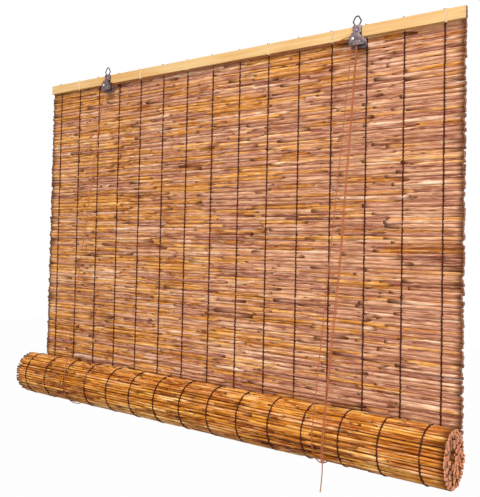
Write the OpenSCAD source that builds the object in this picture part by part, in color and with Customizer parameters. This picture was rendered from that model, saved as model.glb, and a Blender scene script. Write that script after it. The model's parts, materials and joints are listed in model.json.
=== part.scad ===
// Reed roll-up blind, drawn up part way. A mat of reeds bound by warp threads hangs behind a head
// batten. Its lower end is rolled towards the front and lies in two cord slings.
// Millimetres. The origin lies midway between the two hanging eyes, where a hook bears on them.
// X runs to the right, Y back to the wall and Z up.

/* [Reed mat] */
// Width of the mat
mat_w = 1000; // [800:10:1200]
// Drop from the top of the head batten to the axis of the roll
mat_drop = 701; // [500:1:900]
// Diameter of a reed
reed_d = 7.2; // [6:0.1:9]
// Depth to which neighbouring reeds are pressed together
reed_bite = 0.2; // [0.1:0.05:0.3]
// Most that a reed stops short of the mat's edge
reed_ragged = 8; // [0:1:15]
// Height of the see-through gaps between reeds
gap_h = 0.9; // [0.5:0.1:1.5]
// Longest of those gaps
gap_len = 130; // [40:5:160]
// Number of warp threads
warp_count = 15; // [9:1:21]
// Distance of the outer warp threads from the mat's edges
warp_inset = 36; // [20:1:60]
// Thickness of a warp thread's stitches
thread_t = 1.4; // [0.8:0.1:1.8]
// Width of a warp thread's stitches
thread_w = 2.4; // [1.6:0.1:3]

/* [Roll] */
// Radius from the axis of the roll to the middle of its outermost reeds
roll_r = 46; // [40:1:60]
// Free space between one turn and the next
turn_gap = 0.3; // [0.2:0.1:1]
// Height above the axis of the roll at which the front strands slip behind the roll
strand_tuck = 16; // [14:1:30]

/* [Battens] */
// Height of the head batten
batten_h = 20; // [16:0.5:20.5]
// Thickness of the head batten
batten_t = 8; // [6:0.5:12]
// Distance by which the head batten's ends stop short of the mat's edges
batten_inset = 5; // [0:1:20]
// Distance by which the head batten sits off the middle of the mat
batten_shift = 4; // [-10:1:10]
// Width of the bottom lath in the core of the roll
lath_w = 16; // [8:0.5:20]
// Thickness of the bottom lath
lath_t = 7; // [4:0.5:10]
// Bevel on the long edges of both battens
edge_bevel = 0.6; // [0.2:0.1:1.5]
// Width of a lashing
tie_w = 3; // [2:0.5:5]
// Thickness of a lashing
tie_t = 1; // [0.6:0.1:1.4]
// Number of lashings
tie_count = 6; // [3:1:8]
// Distance of a lashing from the warp thread beside it
tie_offset = 5; // [4:0.5:12]

/* [Lifters] */
// Distance between the two hanging eyes, as a share of the mat's width
lifter_share = 0.612; // [0.56:0.002:0.66]
// Distance by which the mat hangs off the middle between the eyes
mat_shift = -12; // [-20:1:20]
// Height of a hook's bearing point above the top of the head batten
eye_rise = 16; // [13:0.5:24]
// Thickness of the eye's wire
wire_d = 2; // [1.6:0.1:2.6]
// Width of the eye at its widest
eye_w = 14.4; // [12:0.2:18]
// Thickness of the lifter's sheet metal
sheet_t = 1; // [0.8:0.1:1.5]
// Width of the lifter's neck
neck_w = 15.5; // [13:0.5:20]
// Length of the neck below the top of the batten
neck_drop = 12.5; // [11.5:0.5:14]
// Width of the lifter's skirt at its lower edge
skirt_w = 28.5; // [27:0.5:33]
// Distance of the skirt's middle from the middle of the neck, to the right
skirt_shift = 2.7; // [0:0.1:3]
// Drop from the top of the batten to the back plate's lower edge
skirt_drop = 40; // [38.5:0.5:46]
// Height of the front plate's lower edge above the back plate's
front_lift = 4; // [2:0.5:5]
// Drop from the top of the batten to the pulley's axis
pulley_drop = 24; // [23:0.5:26]
// Distance of the pulley's axis from the middle of the lifter, to the left
pulley_left = 4; // [3:0.25:5]
// Radius of the cord's middle on the pulley
path_r = 5; // [4.5:0.1:5.2]
// Radius of the pulley's flanges
flange_r = 6.5; // [6.2:0.1:6.8]
// Thickness of a pulley flange
flange_t = 0.9; // [0.6:0.1:1.2]
// Distance of the cam's axis from the middle of the lifter, to the right
cam_right = 8.5; // [8.2:0.1:9.5]
// Drop from the top of the batten to the cam's axis
cam_drop = 30.5; // [30:0.25:32]
// Diameter of the rivets
rivet_d = 3; // [2.4:0.1:3.4]
// Diameter of the screws
screw_d = 3; // [2.4:0.1:3.6]

/* [Cords] */
// Thickness of a cord
cord_d = 2; // [1.6:0.1:2.2]
// Distance of a sling from its lifter, to the left
sling_left = 30; // [10:1:40]
// Distance of a rear run's hole from the middle of its lifter, to the left
rear_left = 3; // [2.5:0.1:3.5]

/* [Clearances] */
// Space between pieces that lie against each other
fit = 0.05; // [0.02:0.01:0.1]
// Space between pieces that move past each other
run = 0.3; // [0.25:0.05:0.4]

/* [Hidden] */
$fn = 24;
reed_r = reed_d / 2;
cord_r = cord_d / 2;
mat_x = mat_shift;
batten_len = mat_w - 2 * batten_inset;
lifter_spacing = lifter_share * mat_w;
batten_top = -eye_rise;
batten_bottom = batten_top - batten_h;

// Depths, from the front plate back to the mat
back_plate_y = wire_d / 2 + fit;
batten_y = back_plate_y + sheet_t;
mat_y = batten_y + batten_t + fit + thread_t + fit + reed_r;
mat_back = mat_y + reed_r;

// Rows of reeds in the hanging mat, from the top of the batten down to the roll
roll_y = mat_y - roll_r;
roll_z = batten_top - mat_drop;
half_seam = reed_r + run * 2 / 3;
top_row_z = batten_top - reed_r;
last_row_z = roll_z + half_seam;
rows = 1 + round((top_row_z - last_row_z) / (reed_d - reed_bite));
pitch = (top_row_z - last_row_z) / (rows - 1);
function row_z(i) = top_row_z - i * pitch;
function seam_z(i) = row_z(i) - pitch / 2;
row_left = rands(0, reed_ragged, rows, 11);
row_right = rands(0, reed_ragged, rows, 12);
gap_rows = [for (i = [7 : 2 : rows - 8]) i];
gap_x = rands(-0.4, 0.4, len(gap_rows), 13);
gap_share = rands(0.4, 1, len(gap_rows), 14);

// Warp threads and the lashings beside some of them
warp_step = (mat_w - 2 * warp_inset) / (warp_count - 1);
function warp_x(k) = mat_x - mat_w / 2 + warp_inset + (k - 1) * warp_step;
function warp_name(k) = str("warp_thread_", k < 10 ? "0" : "", k);
function tie_x(j) = warp_x(2 + round(j * (warp_count - 2) / (tie_count - 1))) + tie_offset;
tie_row = ceil(batten_h / pitch) - 1;
tie_z = seam_z(tie_row);
bead = 0.6;

// The roll's spiral, from its outermost reed inwards
lath_half = sqrt(lath_w * lath_w + lath_t * lath_t) / 2;
core_r = lath_half + reed_r + run;
turn_pitch = reed_d + turn_gap;
start_a = asin(half_seam / roll_r);
function turn_r(t) = roll_r - turn_pitch * t / 360;
reed_turns = [for (t = 0; turn_r(t) > core_r; t = t + 2 * asin(pitch / 2 / turn_r(t))) t];
roll_reeds = len(reed_turns);
roll_left = rands(0, reed_ragged, roll_reeds, 15);
roll_right = rands(0, reed_ragged, roll_reeds, 16);
function roll_point(t, r) = [roll_y + r * cos(start_a + t), roll_z - r * sin(start_a + t)];
loop_sweep = 330;
loop_turns = [for (t = reed_turns) if (t < loop_sweep) t];

// Lifter
plate_top = batten_top + sheet_t * 1.5;
neck_z = batten_top - neck_drop;
skirt_z = batten_top - skirt_drop;
shoulder_h = 3;
groove_w = cord_d + 2.6 * run;
pulley_w = 2 * groove_w + 3 * flange_t;
pulley_x = -pulley_left;
pulley_y = back_plate_y - run - pulley_w / 2;
pulley_z = batten_top - pulley_drop;
skirt_y = back_plate_y - pulley_w - 2 * run;
front_y = skirt_y - sheet_t;
rear_groove_y = pulley_y + (groove_w + flange_t) / 2;
front_groove_y = pulley_y - (groove_w + flange_t) / 2;
cam_x = cam_right;
cam_z = batten_top - cam_drop;
cam_r = cam_x - (pulley_x + path_r + cord_r) - run;
rivet_r = rivet_d / 2;
screw_r = screw_d / 2;
screw_head_r = 2 * screw_r;
screw_z = neck_z + sheet_t + screw_head_r + run;
screw_len = batten_t * 0.8;

// Cord routes. The slings are arcs round the roll, and the front runs leave them at a tangent.
sling_r = roll_r + reed_r + run + cord_r + fit;
rear_y = roll_y + sling_r;
rear_x = -rear_left;
rear_z = seam_z(ceil((pulley_drop + flange_r) / pitch) - 1);
knot_r = 2 * cord_r;
bend_r = 3 * cord_r;
lift_z = pulley_z - flange_r - cord_r;
lift_dy = rear_groove_y - roll_y;
lift_dz = lift_z - roll_z;
front_a = acos(sling_r / norm([lift_dy, lift_dz])) - atan2(lift_dy, lift_dz);
front_point = [roll_y - sling_r * sin(front_a), roll_z + sling_r * cos(front_a)];

// The cross run, from the left lifter and then from the right one, as it lies in use
cross_z = tie_z - tie_t / 2 - run - cord_r;
cross_left = [
    [-4, -1.5, -35], [4, -1.5, -35], [14, -1.5, -35.6], [22, 0.5, -37.2], [32, 5, cross_z], [42, 6, cross_z]
];
cross_right = [
    [-56, 6, cross_z], [-42, 4, cross_z], [-32, 0, -37.6], [-24, -3.5, -35.8], [-16, -5.2, -35],
    [-4, -5.2, -35]
];
cross_route = concat(
    [for (p = cross_left) p - [lifter_spacing / 2, 0, 0]],
    [for (p = cross_right) p + [lifter_spacing / 2, 0, 0]]
);

// The two pull ends, from the right lifter, as they hang in use
pull_left_route = [
    [1, -5.2, -40], [1, -5.2, -50], [1, -5.4, -58], [1, -7.5, -75], [0.5, -15, -140],
    [0, -23.5, -210], [-1, -31.5, -280], [-1.5, -39.5, -350], [-2, -47.5, -420], [-4.5, -55.5, -490],
    [-7, -63.5, -560], [-9.5, -71.5, -630], [-10.5, -77.5, -680], [-10.7, -80.6, -705]
];
pull_right_route = [
    [1, -1.5, -40], [1, -1.5, -50], [1, -1.8, -58], [1.2, -4.5, -75], [1.5, -13, -140],
    [1.5, -22, -210], [1, -30.5, -280], [0.5, -39, -350], [0, -47, -420], [-2, -55, -490],
    [-4.5, -63, -560], [-7, -71, -630], [-8, -77.5, -680], [-8.2, -80.6, -705]
];
left_tip_route = [
    [-10.7, -80.7, -705.5], [-11, -81.5, -712], [-11.4, -82, -720], [-11.8, -82.2, -730],
    [-11.8, -82.2, -740], [-11.8, -82.2, -748]
];
right_tip_route = [
    [-8.2, -80.7, -705.5], [-8.5, -81.5, -712], [-9, -82, -720], [-9.4, -82.2, -730],
    [-9.4, -82.2, -748], [-9.4, -82.2, -758], [-9.6, -82.2, -770], [-10.7, -82.2, -785], [-12.5, -82, -802]
];
pull_knot_h = 6;

// Helpers
function unit(v) = v / norm(v);
function reversed(v) = [for (i = [len(v) - 1 : -1 : 0]) v[i]];

// Puts a flat shape drawn in Y and Z upright, thick along X
module across(thick) {
    rotate([90, 0, 90]) linear_extrude(thick, center = true) children();
}

// Puts a flat shape drawn in X and Z upright, from y0 back to y1
module upright(y0, y1) {
    translate([0, y1, 0]) rotate([90, 0, 0]) linear_extrude(y1 - y0) children();
}

// Turns a shape drawn along Z so that it runs back along Y
module along_y(x, y, z) {
    translate([x, y, z]) rotate([-90, 0, 0]) children();
}

module reed(y, z, x0, x1) {
    translate([x0, y, z]) rotate([0, 90, 0]) cylinder(h = x1 - x0, r = reed_r);
}

// A batten's section, with its long edges bevelled
module batten_section(t, h) {
    b = edge_bevel;
    polygon([[0, b], [b, 0], [t - b, 0], [t, b], [t, h - b], [t - b, h], [b, h], [0, h - b]]);
}

// A round cord swept along its route. The side vector sets where each ring starts.
module cord_tube(route, side, radii) {
    last = len(route) - 1;
    sides = 8;
    points = [
        for (i = [0 : last])
            let (
                t = unit(route[min(i + 1, last)] - route[max(i - 1, 0)]),
                u = unit(side - t * (side * t)),
                v = cross(t, u)
            )
            for (j = [0 : sides - 1])
                route[i] + radii[i] * (cos(360 * j / sides) * u + sin(360 * j / sides) * v)
    ];
    walls = [
        for (i = [0 : last - 1], j = [0 : sides - 1])
            let (a = i * sides + j, b = i * sides + (j + 1) % sides)
            each [[a, a + sides, b], [b, a + sides, b + sides]]
    ];
    near_end = [for (j = [0 : sides - 1]) j];
    far_end = [for (j = [sides - 1 : -1 : 0]) last * sides + j];
    polyhedron(points, concat(walls, [near_end, far_end]));
}

module even_cord(route, side) {
    cord_tube(route, side, [for (p = route) cord_r]);
}

module rod(a, b, d) {
    v = b - a;
    translate(a) rotate([0, acos(v.z / norm(v)), atan2(v.y, v.x)]) cylinder(h = norm(v), d = d);
}

module at_lifter(side) {
    translate([side * lifter_spacing / 2, 0, 0]) children();
}

// Head batten, with a pilot hole for each lifter's screw
module head_batten() {
    color("burlywood") difference() {
        translate([mat_x + batten_shift, batten_y, batten_bottom])
            across(batten_len) batten_section(batten_t, batten_h);
        for (side = [-1, 1])
            at_lifter(side) along_y(0, batten_y - fit, screw_z)
                cylinder(h = screw_len + 2 * fit, r = screw_r);
    }
}

// White thread bands round the batten and the mat's top reeds
module lashings() {
    low = [batten_y - fit, tie_z + tie_t / 2];
    high = [mat_back + fit, batten_top + fit];
    color("ivory") for (j = [0 : tie_count - 1])
        translate([tie_x(j), 0, 0]) across(tie_w) difference() {
            translate(low - [tie_t, tie_t]) square(high - low + [2 * tie_t, 2 * tie_t]);
            translate(low) square(high - low);
        }
}

// Hanging mat: one wall of reeds, with see-through gaps and the holes for lashings and rear cords
module reed_panel() {
    through = 3 * reed_d;
    color("peru") difference() {
        for (i = [0 : rows - 1])
            reed(mat_y, row_z(i), mat_x - mat_w / 2 + row_left[i], mat_x + mat_w / 2 - row_right[i]);
        for (i = [0 : len(gap_rows) - 1])
            translate([mat_x + gap_x[i] * mat_w, mat_y, seam_z(gap_rows[i])])
                cube([gap_len * gap_share[i], through, gap_h], center = true);
        for (j = [0 : tie_count - 1])
            translate([tie_x(j), mat_y, tie_z])
                cube([tie_w + 2 * run, through, tie_t + 2 * run], center = true);
        for (side = [-1, 1])
            at_lifter(side) along_y(rear_x, mat_y - through / 2, rear_z)
                cylinder(h = through, r = cord_r + run);
    }
}

// Warp thread: a beaded front strand, a turn over the top reed and a plain back strand
module warp_thread(k) {
    r0 = reed_r + fit;
    r1 = r0 + thread_t;
    arc_step = 22.5;
    front_rows = [for (i = [0 : rows - 1]) if (row_z(i) > roll_z + strand_tuck) i];
    front_end = seam_z(front_rows[len(front_rows) - 1]);
    beads = [
        for (i = reversed(front_rows))
            each [[mat_y - r0 - bead * thread_t, seam_z(i)], [mat_y - r1, row_z(i)]]
    ];
    over = [for (a = [180 - arc_step : -arc_step : 0]) [mat_y + r1 * cos(a), top_row_z + r1 * sin(a)]];
    r2 = r0 / cos(arc_step / 2);
    under = [for (a = [arc_step / 2 : arc_step : 180]) [mat_y + r2 * cos(a), top_row_z + r2 * sin(a)]];
    ends = [[mat_y + r1, last_row_z], [mat_y + r0, last_row_z], [mat_y + r0, top_row_z]];
    color("saddlebrown") translate([warp_x(k), 0, 0]) across(thread_w)
        polygon(concat(beads, over, ends, under, [[mat_y - r0, top_row_z], [mat_y - r0, front_end]]));
}

// Rolled part of the mat: its reeds side by side along a spiral, one solid
module reed_roll() {
    color("goldenrod") for (i = [0 : roll_reeds - 1]) {
        p = roll_point(reed_turns[i], turn_r(reed_turns[i]));
        reed(p[0], p[1], mat_x - mat_w / 2 + roll_left[i], mat_x + mat_w / 2 - roll_right[i]);
    }
}

// The warp threads' loops round the outermost turn, beaded like the front strands
module roll_threads() {
    lift = reed_r + fit;
    last = len(loop_turns) - 1;
    inner = [for (t = loop_turns) roll_point(t, turn_r(t) + lift)];
    outer = [
        for (i = [0 : last])
            let (t = loop_turns[i], mid = (t + loop_turns[min(i + 1, last)]) / 2)
            each i == last ? [roll_point(t, turn_r(t) + lift + thread_t)] : [
                roll_point(t, turn_r(t) + lift + thread_t),
                roll_point(mid, turn_r(mid) + lift + bead * thread_t)
            ]
    ];
    color("saddlebrown") for (k = [1 : warp_count])
        translate([warp_x(k), 0, 0]) across(thread_w) polygon(concat(inner, reversed(outer)));
}

// Lath tied to the mat's lower end, with one corner towards the innermost reed
module bottom_lath() {
    inner_a = start_a + reed_turns[roll_reeds - 1];
    color("burlywood") translate([mat_x, roll_y, roll_z]) rotate([-inner_a + atan2(lath_t, lath_w), 0, 0])
        translate([0, -lath_w / 2, -lath_t / 2]) across(mat_w - 2 * reed_ragged)
            batten_section(lath_w, lath_t);
}

// Bent wire eye, its two legs held between the lifter's plates
module hanging_eye() {
    top = wire_d / 2;
    leg_x = neck_w * 0.22;
    half = [
        [leg_x, neck_z + screw_d], [leg_x, batten_top - wire_d], [leg_x + 0.3, batten_top + 0.5],
        [eye_w / 2 - 1, -eye_rise * 0.66], [eye_w / 2 - 0.1, -eye_rise * 0.57], [eye_w / 2, -eye_rise * 0.5],
        [eye_w / 2 - 0.5, -eye_rise * 0.4], [eye_w / 4, top - wire_d], [eye_w / 6, top - wire_d / 8],
        [eye_w / 9, top]
    ];
    right_half = [for (p = half) [p[0], 0, p[1]]];
    left_half = [for (p = half) [-p[0], 0, p[1]]];
    route = concat(left_half, reversed(right_half));
    color("dimgray") cord_tube(route, [0, 1, 0], [for (p = route) wire_d / 2]);
}

// Outline of both plates: a straight neck, then a skirt that flares to the right and steps to the left
module plate_outline(low_z) {
    steps = 7;
    neck_side = neck_w / 2;
    left_side = skirt_w / 2 - skirt_shift;
    right_side = skirt_w / 2 + skirt_shift;
    step_z = pulley_z + flange_r - 1;
    flare_top = neck_z - 2;
    flare_low = cam_z + cam_r / 2;
    flare = [
        for (i = [0 : steps])
            let (t = i / steps)
            [neck_side + (right_side - neck_side) * pow(t, 1.3), flare_top + (flare_low - flare_top) * t]
    ];
    polygon(concat(
        [[neck_side - 2, plate_top], [neck_side, plate_top - 2]], flare,
        [[right_side, low_z], [-left_side, low_z], [0.8 - left_side, step_z], [-neck_side, step_z]],
        [[-neck_side, plate_top - 2], [2 - neck_side, plate_top]]
    ));
}

// Holes through a lifter's plates for the two rivets and the screw
module plate_holes(y0, y1) {
    along_y(pulley_x, y0, pulley_z) cylinder(h = y1 - y0, r = rivet_r + fit);
    along_y(cam_x, y0, cam_z) cylinder(h = y1 - y0, r = rivet_r + fit);
    along_y(0, y0, screw_z) cylinder(h = y1 - y0, r = screw_r + fit);
}

module back_plate() {
    color("dimgray") difference() {
        upright(back_plate_y, batten_y) plate_outline(skirt_z);
        plate_holes(back_plate_y - sheet_t, batten_y + sheet_t);
        along_y(rear_x, back_plate_y - sheet_t, rear_z) cylinder(h = 3 * sheet_t, r = cord_r + fit);
    }
}

// Front plate: its neck lies on the eye's wire, and a shoulder carries the skirt out over the pulley
module front_plate() {
    neck_back = -back_plate_y;
    neck_front = neck_back - sheet_t;
    shoulder_z = neck_z - shoulder_h;
    color("dimgray") difference() {
        intersection() {
            upright(front_y - 1, 0) plate_outline(skirt_z + front_lift);
            across(2 * skirt_w) polygon([
                [neck_back, plate_top + 1], [neck_back, neck_z], [skirt_y, shoulder_z],
                [skirt_y, skirt_z - 1], [front_y, skirt_z - 1], [front_y, shoulder_z + sheet_t],
                [neck_front, neck_z + sheet_t], [neck_front, plate_top + 1]
            ]);
        }
        plate_holes(front_y - 1, 0);
    }
}

// Round-headed screw through both plates into the batten
module screw() {
    seat = back_plate_y + sheet_t;
    head_r = screw_head_r;
    head_h = screw_r;
    shank_r = screw_r - fit;
    tip_r = screw_r * 0.4;
    tip = seat + batten_y + screw_len;
    color("silver") along_y(0, -seat, screw_z) rotate_extrude() polygon([
        [0, -head_h], [head_r * 0.6, -head_h * 0.9], [head_r * 0.9, -head_h * 0.5], [head_r, 0],
        [shank_r, 0], [shank_r, tip - head_r], [tip_r, tip], [0, tip]
    ]);
}

// Pulley with a groove for each of the two cords
module pulley() {
    groove_r = path_r - cord_r - run;
    bore_r = rivet_r + fit;
    half = pulley_w / 2;
    slope = cord_r * 0.4;
    groove = [
        [flange_r, flange_t / 2], [groove_r, flange_t / 2 + slope],
        [groove_r, half - flange_t - slope], [flange_r, half - flange_t]
    ];
    far = concat(groove, [[flange_r, half]]);
    near = [for (p = reversed(far)) [p[0], -p[1]]];
    color("slategray") along_y(pulley_x, pulley_y, pulley_z) rotate_extrude()
        polygon(concat([[bore_r, -half]], near, far, [[bore_r, half]]));
}

// Rivet through both plates, with a domed front head and a flat back head
module rivet(x, z) {
    head_r = rivet_r * 1.7;
    depth = batten_y - front_y;
    color("silver") along_y(x, front_y, z) rotate_extrude() polygon([
        [0, -1.2], [head_r * 0.5, -1.1], [head_r * 0.9, -0.6], [head_r, 0], [rivet_r, 0],
        [rivet_r, depth], [head_r * 0.9, depth], [head_r * 0.9, depth + 0.7], [0, depth + 0.7]
    ]);
}

// Toothed cam that drops against the pull ends and locks them
module cam() {
    hub_r = rivet_r + 2.3;
    teeth = 4;
    tooth_a = 14;
    tooth_h = 1;
    first_a = 158;
    lobe = [
        for (i = [0 : teeth - 1])
            let (a = first_a + i * tooth_a)
            each [
                [(cam_r - tooth_h) * cos(a), (cam_r - tooth_h) * sin(a)],
                [cam_r * cos(a + tooth_a * 0.7), cam_r * sin(a + tooth_a * 0.7)]
            ]
    ];
    last_a = first_a + teeth * tooth_a;
    root_a = 30;
    root = [
        [hub_r * cos(last_a + root_a), hub_r * sin(last_a + root_a)], [0, 0],
        [hub_r * cos(first_a - root_a), hub_r * sin(first_a - root_a)]
    ];
    color("slategray") translate([cam_x, 0, cam_z]) difference() {
        upright(pulley_y - pulley_w / 2, pulley_y + pulley_w / 2) union() {
            circle(r = hub_r);
            polygon(concat(lobe, root));
        }
        along_y(0, pulley_y - pulley_w, 0) cylinder(h = 2 * pulley_w, r = rivet_r + fit);
    }
}

// Rear run: up behind the mat, through it under the batten, and knotted inside the lifter
module rear_cord(side) {
    sling_x = -sling_left;
    knot_y = back_plate_y - fit;
    route = [
        [sling_x, rear_y, roll_z + run], [rear_x, rear_y, rear_z - bend_r],
        [rear_x, rear_y - 0.3 * bend_r, rear_z - 0.3 * bend_r], [rear_x, rear_y - bend_r, rear_z],
        [rear_x, knot_y, rear_z], [rear_x, knot_y - 0.2, rear_z], [rear_x, knot_y - knot_r, rear_z],
        [rear_x, knot_y - 2 * knot_r, rear_z]
    ];
    radii = [cord_r, cord_r, cord_r, cord_r, cord_r, knot_r * 0.7, knot_r, knot_r * 0.5];
    color("sienna") at_lifter(side) cord_tube(route, [1, 0, 0], radii);
}

// Sling: the arc of cord under the roll, from the rear run round to the front run's tangent point
module sling(side) {
    color("sienna") at_lifter(side) translate([-sling_left, roll_y, roll_z])
        rotate([0, -90, 0]) rotate([0, 0, 90])
            rotate_extrude(angle = 270 - front_a, $fn = 48) translate([sling_r, 0]) circle(r = cord_r);
}

// Front lift run, straight from the sling up to the cord below the pulley
module lift_cord(side) {
    low = [-sling_left, front_point[0], front_point[1]];
    high = [pulley_x - path_r, rear_groove_y, lift_z];
    step = run * unit(high - low);
    color("sienna") at_lifter(side) rod(low + step, high - step, cord_d);
}

// Cord lying on the pulley, from its left side over the top
module cord_turn(y, sweep) {
    along_y(pulley_x, y, pulley_z) rotate([0, 0, 180]) rotate_extrude(angle = sweep)
        translate([path_r, 0]) circle(r = cord_r);
}

// The straight length between the pulley and the lift run
module cord_drop() {
    translate([pulley_x - path_r, rear_groove_y, lift_z]) cylinder(h = pulley_z - lift_z, r = cord_r);
}

module left_cord_turn() {
    color("sienna") at_lifter(-1) {
        cord_turn(rear_groove_y, 90);
        cord_drop();
    }
}

module right_cord_turns() {
    color("sienna") at_lifter(1) {
        cord_turn(rear_groove_y, 180);
        cord_drop();
        translate([2 * pulley_x, 0, 0]) mirror([1, 0, 0]) cord_turn(front_groove_y, 90);
    }
}

module cross_cord() {
    color("sienna") even_cord(cross_route, [0, 0, 1]);
}

module pull_cord_left() {
    color("sienna") at_lifter(1) even_cord(pull_left_route, [1, 0, 0]);
}

module pull_cord_right() {
    color("sienna") at_lifter(1) even_cord(pull_right_route, [1, 0, 0]);
}

// The pull ends' lower stretches, which hang over the front of the roll
module pull_tip_left() {
    color("sienna") at_lifter(1) even_cord(left_tip_route, [1, 0, 0]);
}

module pull_tip_right() {
    color("sienna") at_lifter(1) even_cord(right_tip_route, [1, 0, 0]);
}

// Knot round the right pull end, at the tip of the left one
module pull_knot() {
    tip = left_tip_route[len(left_tip_route) - 1];
    h = pull_knot_h;
    bore_r = cord_r + fit;
    end_r = cord_d * 1.2;
    waist_r = cord_d * 1.5;
    color("sienna") at_lifter(1) translate([right_tip_route[4].x, tip.y, tip.z - h])
        rotate_extrude() polygon([
            [bore_r, 0], [end_r, 0], [waist_r, h / 3], [waist_r, h * 2 / 3], [end_r, h], [bore_r, h]
        ]);
}

head_batten();
lashings();
reed_panel();
reed_roll();
roll_threads();
bottom_lath();
for (k = [1 : warp_count]) warp_thread(k);

at_lifter(-1) hanging_eye();  // left_eye
at_lifter(-1) back_plate();  // left_back_plate
at_lifter(-1) front_plate();  // left_front_plate
at_lifter(-1) screw();  // left_screw
at_lifter(-1) pulley();  // left_pulley
at_lifter(-1) rivet(pulley_x, pulley_z);  // left_pulley_rivet
at_lifter(-1) cam();  // left_cam
at_lifter(-1) rivet(cam_x, cam_z);  // left_cam_rivet

at_lifter(1) hanging_eye();  // right_eye
at_lifter(1) back_plate();  // right_back_plate
at_lifter(1) front_plate();  // right_front_plate
at_lifter(1) screw();  // right_screw
at_lifter(1) pulley();  // right_pulley
at_lifter(1) rivet(pulley_x, pulley_z);  // right_pulley_rivet
at_lifter(1) cam();  // right_cam
at_lifter(1) rivet(cam_x, cam_z);  // right_cam_rivet

rear_cord(-1);  // left_rear_cord
sling(-1);  // left_sling
lift_cord(-1);  // left_lift_cord
left_cord_turn();
cross_cord();
rear_cord(1);  // right_rear_cord
sling(1);  // right_sling
lift_cord(1);  // right_lift_cord
right_cord_turns();
pull_cord_left();
pull_cord_right();
pull_tip_left();
pull_tip_right();
pull_knot();
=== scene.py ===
"""Looks of a reed roll-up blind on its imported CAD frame: the reed mat, its threads, lifters and cords.

Metres. X runs to the right, Y back to the wall and Z up, with the origin midway between the hanging eyes.
"""

import json
import math

import bmesh
import bpy
from mathutils import Matrix, Vector

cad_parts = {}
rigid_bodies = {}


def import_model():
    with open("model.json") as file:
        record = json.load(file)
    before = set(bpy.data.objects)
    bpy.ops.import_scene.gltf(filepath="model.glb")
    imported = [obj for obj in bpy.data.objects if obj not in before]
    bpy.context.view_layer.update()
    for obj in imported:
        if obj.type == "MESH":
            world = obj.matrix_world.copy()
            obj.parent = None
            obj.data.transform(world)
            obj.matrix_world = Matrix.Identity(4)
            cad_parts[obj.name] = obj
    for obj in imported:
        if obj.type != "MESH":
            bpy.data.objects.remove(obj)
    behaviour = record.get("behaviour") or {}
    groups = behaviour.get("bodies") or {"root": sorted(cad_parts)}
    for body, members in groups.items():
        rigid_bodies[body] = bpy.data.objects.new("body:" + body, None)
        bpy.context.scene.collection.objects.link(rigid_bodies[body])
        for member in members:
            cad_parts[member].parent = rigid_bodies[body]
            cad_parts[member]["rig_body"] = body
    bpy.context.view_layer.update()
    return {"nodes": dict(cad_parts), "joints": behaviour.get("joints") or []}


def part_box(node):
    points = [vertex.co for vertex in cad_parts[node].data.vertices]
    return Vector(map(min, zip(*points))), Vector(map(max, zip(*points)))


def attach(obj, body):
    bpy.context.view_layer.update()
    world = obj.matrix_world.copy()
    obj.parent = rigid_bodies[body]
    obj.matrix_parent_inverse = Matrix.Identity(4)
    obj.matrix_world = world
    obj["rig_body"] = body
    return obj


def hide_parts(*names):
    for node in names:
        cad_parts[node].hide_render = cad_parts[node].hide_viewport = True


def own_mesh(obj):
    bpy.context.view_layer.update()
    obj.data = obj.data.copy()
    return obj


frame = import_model()
joints = {joint["name"]: joint for joint in frame["joints"]}

# Head batten. A planed pine lath, 20 mm tall, that carries the mat behind it and the two lifters in front.
# The mat is lashed to it with thread, and each lifter is screwed to it.


def linear(hex_colour):
    """An sRGB hex value as a linear colour."""
    channels = [int(hex_colour[i : i + 2], 16) / 255 for i in (1, 3, 5)]
    return [c / 12.92 if c <= 0.04045 else ((c + 0.055) / 1.055) ** 2.4 for c in channels] + [1.0]


def fill(tree, made, inputs):
    """Links or sets a node's inputs."""
    for key, value in inputs.items():
        named = [s for s in made.inputs if s.name == key and s.enabled]
        socket = named[0] if named else made.inputs[key]
        if isinstance(value, bpy.types.NodeSocket):
            tree.links.new(value, socket)
        else:
            socket.default_value = value


def set_stops(elements, stops):
    """Sets a colour ramp's stops, each a place and a hex colour."""
    while len(elements) < len(stops):
        elements.new(1.0)
    for element, (place, hex_colour) in zip(elements, stops):
        element.position = place
        element.color = linear(hex_colour)


def node(tree, kind, inputs=None, stops=None, **settings):
    """Adds a node, sets it up, fills its inputs, and returns its first output in use."""
    made = tree.nodes.new(kind)
    for name, value in settings.items():
        setattr(made, name, value)
    if stops:
        set_stops(made.color_ramp.elements, stops)
    fill(tree, made, inputs or {})
    in_use = [s for s in made.outputs if s.enabled]
    return in_use[0] if in_use else None


def finish_of(name):
    """A new material, its node tree and its Principled shader."""
    made = bpy.data.materials.new(name)
    made.use_nodes = True
    return made, made.node_tree, made.node_tree.nodes["Principled BSDF"]


def object_place(tree, scale):
    """Object coordinates, scaled per axis: 1 / scale is the size of a pattern's cell in metres."""
    place = node(tree, "ShaderNodeTexCoord").node.outputs["Object"]
    return node(tree, "ShaderNodeMapping", {"Vector": place, "Scale": scale})


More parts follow.
